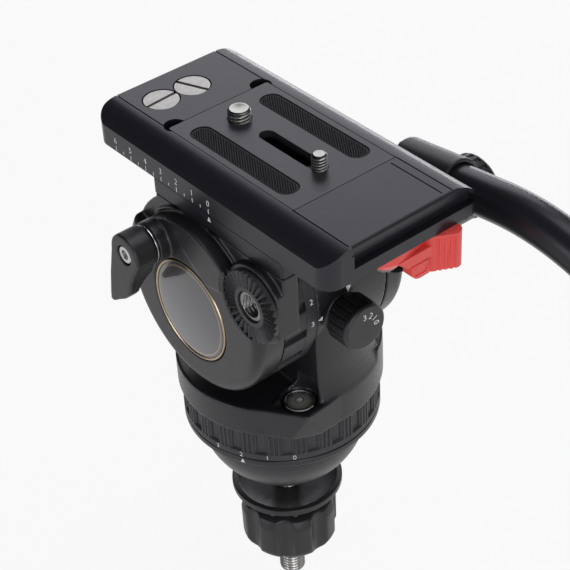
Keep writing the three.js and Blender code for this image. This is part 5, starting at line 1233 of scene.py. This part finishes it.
def camera_screw(y, radius, pitch, stand, name, dished):
    steel = turned_metal(name + "_steel", (0.40, 0.385, 0.36), (0.48, 0.465, 0.44), "z", (0, y, 0), 0.33,
                         roots=(radius - 0.62, radius - 0.12))
    head = rod("z", (0, y, 0), 7.4, 130.4, 132.8, 72, edge=0.3)
    cut(head, block(-9, 9, y - 0.75, y + 0.75, 129, 131.5))
    thread = threaded("z", (0, y, 0), radius, pitch, 132.0, BED_TOP + stand, 0.8, steps=72)
    top_z = BED_TOP + stand
    trim = lathe([(radius + 2, top_z - 1.5), (radius + 2, top_z + 1), (radius - 0.9, top_z + 1),
                  (radius - 0.9, top_z - 0.1),
                  (radius + 0.2, top_z - 1.0)], "z", (0, y, 0), 72)
    cut(thread, trim)
    if dished:
        cut(thread, lathe([(0, top_z - 0.9), (radius - 1.7, top_z + 0.1), (radius - 1.7, top_z + 1),
                           (0, top_z + 1)], "z", (0, y, 0), 56))
    join(head, thread)
    return smooth(head, 50), steel


for name, body_name, y, radius, pitch, stand, dished, node in (
        ("quarter_screw", "quarter_screw", -31.8, QUARTER_R, 1.27, 6.2, False, "quarter_inch_screw"),
        ("three_eighths_screw", "three_eighths", THREE_EIGHTHS_Y, THREE_EIGHTHS_R, 1.5875, 4.6, True,
         "three_eighths_screw")):
    screw, steel = camera_screw(y, radius, pitch, stand, name, dished)
    dress(screw, name, steel, body_name, [node])

# Release lever, catch and slide lock
GRIP_AT = (16.9, -74.7)
GRIP_TURN = Matrix.Translation((GRIP_AT[0] * MM, GRIP_AT[1] * MM, 0)) @ Matrix.Rotation(math.radians(-29), 4,
        "Z")
arm = prism(arc(PIVOT[0], PIVOT[1], 9.0, 60, 280, 36) + [(7.1, -75.7), (14.4, -73.9), GRIP_AT, (16.9, -66)],
            "z", 118, 122.6)
web = prism([(-2, -77.2), (1, -77.4), (15.1, -77.4), GRIP_AT, (16.9, -66), (-2, -62.3)], "z", 114, 118.5)
cut(web, prism([(-3, 113), (3.4, 113), (-2.4, 118.3), (-3, 118.3)], "y", -80, -60))
grip = prism(arc(8, 0, 3.6, -90, 90, 20) + arc(0, 0, 3.6, 90, 270, 20), "z", 106.5, 122.6)
grooves = repeat_rows(rod("z", (1.6, -3.75, 0), 0.6, 100, 121.4, 20), 4, (2.1, 0, 0))
cut(grip, grooves)
join(arm, lathe([(0, 114), (5.6, 114), (8.5, 118.3), (0, 118.3)], "z", PIVOT, 64), web,
     moved(grip, GRIP_TURN))
softened(arm, 0.6, 4, 40)
cut(arm, rod("z", PIVOT, 2.8, 112, 124, 40), rod("z", (8, -75.25, 0), 1.5, 112, 117.9, 32))
button = moved(ring("z", (7.6, 0, 0), 2.0, 2.7, 122.3, 122.75, 48), GRIP_TURN)
dress(together(arm, softened(button, 0.1)), "release_arm", RED_MOULDED, "release",
      ["release_lever"])
tab = prism([(4.1, 113.7), (4.1, 109.6), (6.2, 107.5), (8.2, 107.0), (13, 107.1), (13, 113.7)], "y", -77.9,
            -72.6)
softened(tab, 0.4, 3, 30)
cut(tab, prism(rounded(6.5, -76.75, 12.5, -73.75, 1.49, 8), "z", 103, 116))
cut(tab, prism(rounded(5.4, 108.8, 11.9, 112.3, 0.9), "y", -79, -77.55))
dress(smooth(tab, 30), "release_tab", RED_MOULDED, "catch", ["release_catch"])

hook = prism(arc(*HOOK[1:], 3, 90, -90, 16) + [(-67.6, 117.75)] + arc(-71.2, 117.9, 1.8, 0, -180,
        12) + [(-73.0, 120.75)], "x", 37.35, 40.55)
join(hook, rod("x", HOOK, 2.0, 29.05, 39, 40))
dress(softened(hook, 0.5, 3, 30), "slide_hook", BLACK_MOULDED, "slide_lock",
      ["slide_lock_lever"])

# Handle: clamp, knob, bar, grip and cap, built along Y through the rosette axis and then turned up
HANDLE = Matrix.Translation((0, ROSETTE_Y * MM, ROSETTE_Z * MM)) @ Matrix.Rotation(math.radians(-7.5), 4, "X")
BAR_X = 56.5
BAR_UP = 12.2
BAR_R = 8.7
clamp = rod("x", ORIGIN, ROSETTE_R, 45.2, 49.2, 128)
join(clamp, rod("x", ORIGIN, 12.4, 48, 67.5, 96))
join(clamp, rod("y", (BAR_X, 0, BAR_UP), 11, -13, 18, 96))
cut(clamp, rod("y", (BAR_X, 0, BAR_UP), BAR_R + GAP, -16, 15, 72))
cut(clamp, rod("x", ORIGIN, 3.5, 44, 70, 40))
moved(clamp, HANDLE)
dress(cast(clamp, 0.5, 5), "clamp_casting", BLACK_MOULDED, "handle", ["handle_clamp"])
knob = lathe([(0, 67.8), (11.9, 67.8), (12.7, 68.3), (13, 69.2), (13, 76.6), (12.6, 77.4), (9.7, 79.9),
              (8.6, 80.4), (0, 80.5)],
             "x", ORIGIN, 120)
cut(knob, repeat_round(rod("x", (0, 13.6, 0), 1.3, 69.3, 76.2, 20), "x", ORIGIN, 20))
cut(knob, rod("x", ORIGIN, 3.5, 66, 74.6, 40))
moved(knob, HANDLE)
dress(softened(knob, 0.25, 2, 30), "clamp_knob", BLACK_MOULDED, "handle_clamping",
      ["handle_knob"])


def hoop(centre, along, radius, sides):
    """Points round a centre, across a direction that has no X in it."""
    side = Vector((1, 0, 0))
    up = along.cross(side).normalized()
    turns = [TURN * k / sides for k in range(sides)]
    return [tuple(centre + side * radius * math.cos(a) + up * radius * math.sin(a)) for a in turns]

def tube(points, radius, sides=48):
    """A closed round tube through points in the plane X = constant."""
    verts = []
    for i, point in enumerate(points):
        before = Vector(points[max(i - 1, 0)])
        after = Vector(points[min(i + 1, len(points) - 1)])
        verts += hoop(Vector(point), (after - before).normalized(), radius, sides)
    faces = [tuple(range(sides)), tuple(range((len(points) - 1) * sides, len(points) * sides))[::-1]]
    for i in range(len(points) - 1):
        for k in range(sides):
            j = (k + 1) % sides
            faces.append((i * sides + k, i * sides + j, (i + 1) * sides + j, (i + 1) * sides + k))
    return put("tube", verts, faces)


BEND_R = 115.0
BEND = math.radians(45)
BEND_STEPS = 32
bend_start = -34.0
BAR_FROM = 14.7
route = [(BAR_X, BAR_FROM, BAR_UP), (BAR_X, bend_start, BAR_UP)]
for i in range(1, BEND_STEPS + 1):
    angle = BEND * i / BEND_STEPS
    route.append((BAR_X, bend_start - BEND_R * math.sin(angle), BAR_UP - BEND_R * (1 - math.cos(angle))))
tail = Vector((0, -math.cos(BEND), -math.sin(BEND)))
tail_start = Vector(route[-1])
tail_length = BAR_LENGTH - (BAR_FROM - bend_start) - BEND_R * BEND
route.append(tuple(tail_start + tail * tail_length))
bar = moved(tube(route, BAR_R, 64), HANDLE)
dress(softened(bar, 0.4, 2, 50), "bar_tube", BLACK_ANODISED, "handle", ["pan_bar"])
grip_end = tail_length - 5
stations = [(-128.0, 12.6), (-127.2, 13.4), (-126.0, 13.8), (-110, 13.9), (-64, 14.0), (-18, 13.9),
            (-2.0, 13.8),
            (-0.8, 13.4), (0, 12.6)]


def sleeve(pairs, inner, sides=72):
    """A hollow sleeve on the tail of the bar: (distance along the tail, outer radius) pairs, and one bore."""
    loop = list(pairs) + [(pairs[-1][0], inner), (pairs[0][0], inner)]
    verts = []
    for along, radius in loop:
        verts += hoop(tail_start + tail * along, tail, radius, sides)
    faces = []
    for i in range(len(loop)):
        j = (i + 1) % len(loop)
        for k in range(sides):
            m = (k + 1) % sides
            faces.append((i * sides + k, i * sides + m, j * sides + m, j * sides + k))
    return put("sleeve", verts, faces)


foam = sleeve([(grip_end + s, r) for s, r in stations], BAR_R + GAP)
dress(smooth(moved(foam, HANDLE), 40), "grip_sleeve", GRIP_FOAM, "handle", ["handle_grip"])
cap_from = grip_end + GAP
cap_to = cap_from + 11
cap = sleeve([(cap_from, 12.0), (cap_from + 0.5, 12.5), (cap_to - 2.2, 12.5), (cap_to - 0.7, 11.9),
              (cap_to, 10.6), (cap_to, 2.0)], 1.6)
cut(cap, tube([tuple(tail_start + tail * (grip_end - 1)), tuple(tail_start + tail * (tail_length + 0.3))],
              BAR_R + GAP, 48))
dress(smooth(moved(cap, HANDLE), 35), "grip_cap", BLACK_MOULDED, "handle",
      ["handle_end_cap"])

# Stage: pale floor, white surroundings, soft lights, camera

material = bpy.data.materials.new("pale_floor")
material.use_nodes = True
tree = material.node_tree
body = tree.nodes["Principled BSDF"]
body.inputs["Base Color"].default_value = (0.84, 0.84, 0.845, 1)
body.inputs["Roughness"].default_value = 0.7
glow = tree.nodes.new("ShaderNodeEmission")
glow.inputs["Color"].default_value = (1.0, 1.0, 1.0, 1)
glow.inputs["Strength"].default_value = 1.0
ray = tree.nodes.new("ShaderNodeLightPath")
# In reflections the floor is brighter towards the right, where the lit side of the room is
split = tree.nodes.new("ShaderNodeSeparateXYZ")
wire(tree, object_coords(tree), split.inputs[0])
floor_glow = ranged(tree, split.outputs["X"], 0.56, 1.0, -0.1, 0.25)
CAMERA_SHARE = 0.90
share = calc(tree, "MAXIMUM", calc(tree, "MULTIPLY", ray.outputs["Is Camera Ray"], CAMERA_SHARE),
             calc(tree, "MULTIPLY", ray.outputs["Is Glossy Ray"], floor_glow))
mixed_shaders(tree, share, body.outputs["BSDF"], glow.outputs["Emission"], "Material Output")
FLOOR_Z = -104.6
FLOOR_HALF = 4000
floor_corners = [(a * FLOOR_HALF, b * FLOOR_HALF, FLOOR_Z) for a, b in ((-1, -1), (1, -1), (1, 1), (-1, 1))]
floor = put("floor", floor_corners, [(0, 1, 2, 3)])
floor.data.materials.append(material)

world = bpy.data.worlds.new("studio")
scene.world = world
world.use_nodes = True
tree = world.node_tree
ambient = tree.nodes["Background"]
ambient.inputs["Color"].default_value = (0.93, 0.96, 1.0, 1)
# The room is darker towards the front left, where the shoulder beside the scale is mirrored
toward = tree.nodes.new("ShaderNodeVectorMath")
toward.operation = "DOT_PRODUCT"
toward.inputs[1].default_value = (-0.19, 0.68, 0.71)
wire(tree, tree.nodes.new("ShaderNodeTexCoord").outputs["Generated"], toward.inputs[0])
wire(tree, ranged(tree, toward.outputs["Value"], 0.26, 0.03, 0.2, 0.9), ambient.inputs["Strength"])
seen = tree.nodes.new("ShaderNodeBackground")
seen.inputs["Color"].default_value = (1.0, 1.0, 1.0, 1)
seen.inputs["Strength"].default_value = 1.0
ray = tree.nodes.new("ShaderNodeLightPath")
mixed_shaders(tree, ray.outputs["Is Camera Ray"], ambient.outputs["Background"], seen.outputs["Background"],
              "World Output")


def softbox(name, place, target, size, power):
    lamp = bpy.data.lights.new(name, "AREA")
    lamp.shape = "RECTANGLE"
    lamp.size, lamp.size_y = size
    lamp.energy = power
    lamp.color = (0.94, 0.94, 1.0)
    holder = linked(name, lamp)
    holder.location = place
    holder.rotation_euler = (Vector(target) - Vector(place)).to_track_quat("-Z", "Y").to_euler()


softbox("overhead", (0.35, -0.1, 1.3), (0, 0, 0.08), (1.0, 0.8), 5.4)
softbox("right_front", (1.15, 1.35, 1.05), (0, 0, 0.1), (1.3, 1.1), 8.6)
softbox("left_front", (-1.3, 0.1, 0.35), (0, 0, 0.08), (0.6, 0.6), 3.5)
softbox("left_rear", (-0.6, -1.3, 0.5), (0, 0, 0.06), (0.9, 0.9), 8.0)
softbox("right_low", (1.3, 0.95, 0.02), (0, 0, 0.12), (1.2, 0.22), 4.0)

camera = bpy.data.cameras.new("camera")
camera.lens = 105.0
camera.sensor_width = 36.0
camera.sensor_fit = "HORIZONTAL"
camera.clip_start = 0.02
camera.clip_end = 30
holder = linked("camera", camera)
view_right = Vector((0.76584784, -0.64139678, -0.0456865))
view_up = Vector((0.42285749, 0.44883039, 0.78723747))
view_back = view_right.cross(view_up)
holder.matrix_world = Matrix.Translation((-0.33071, -0.43128, 0.48737)) @ Matrix((view_right, view_up,
        view_back)).transposed().to_4x4()
scene.camera = holder

scene.view_settings.view_transform = "Standard"
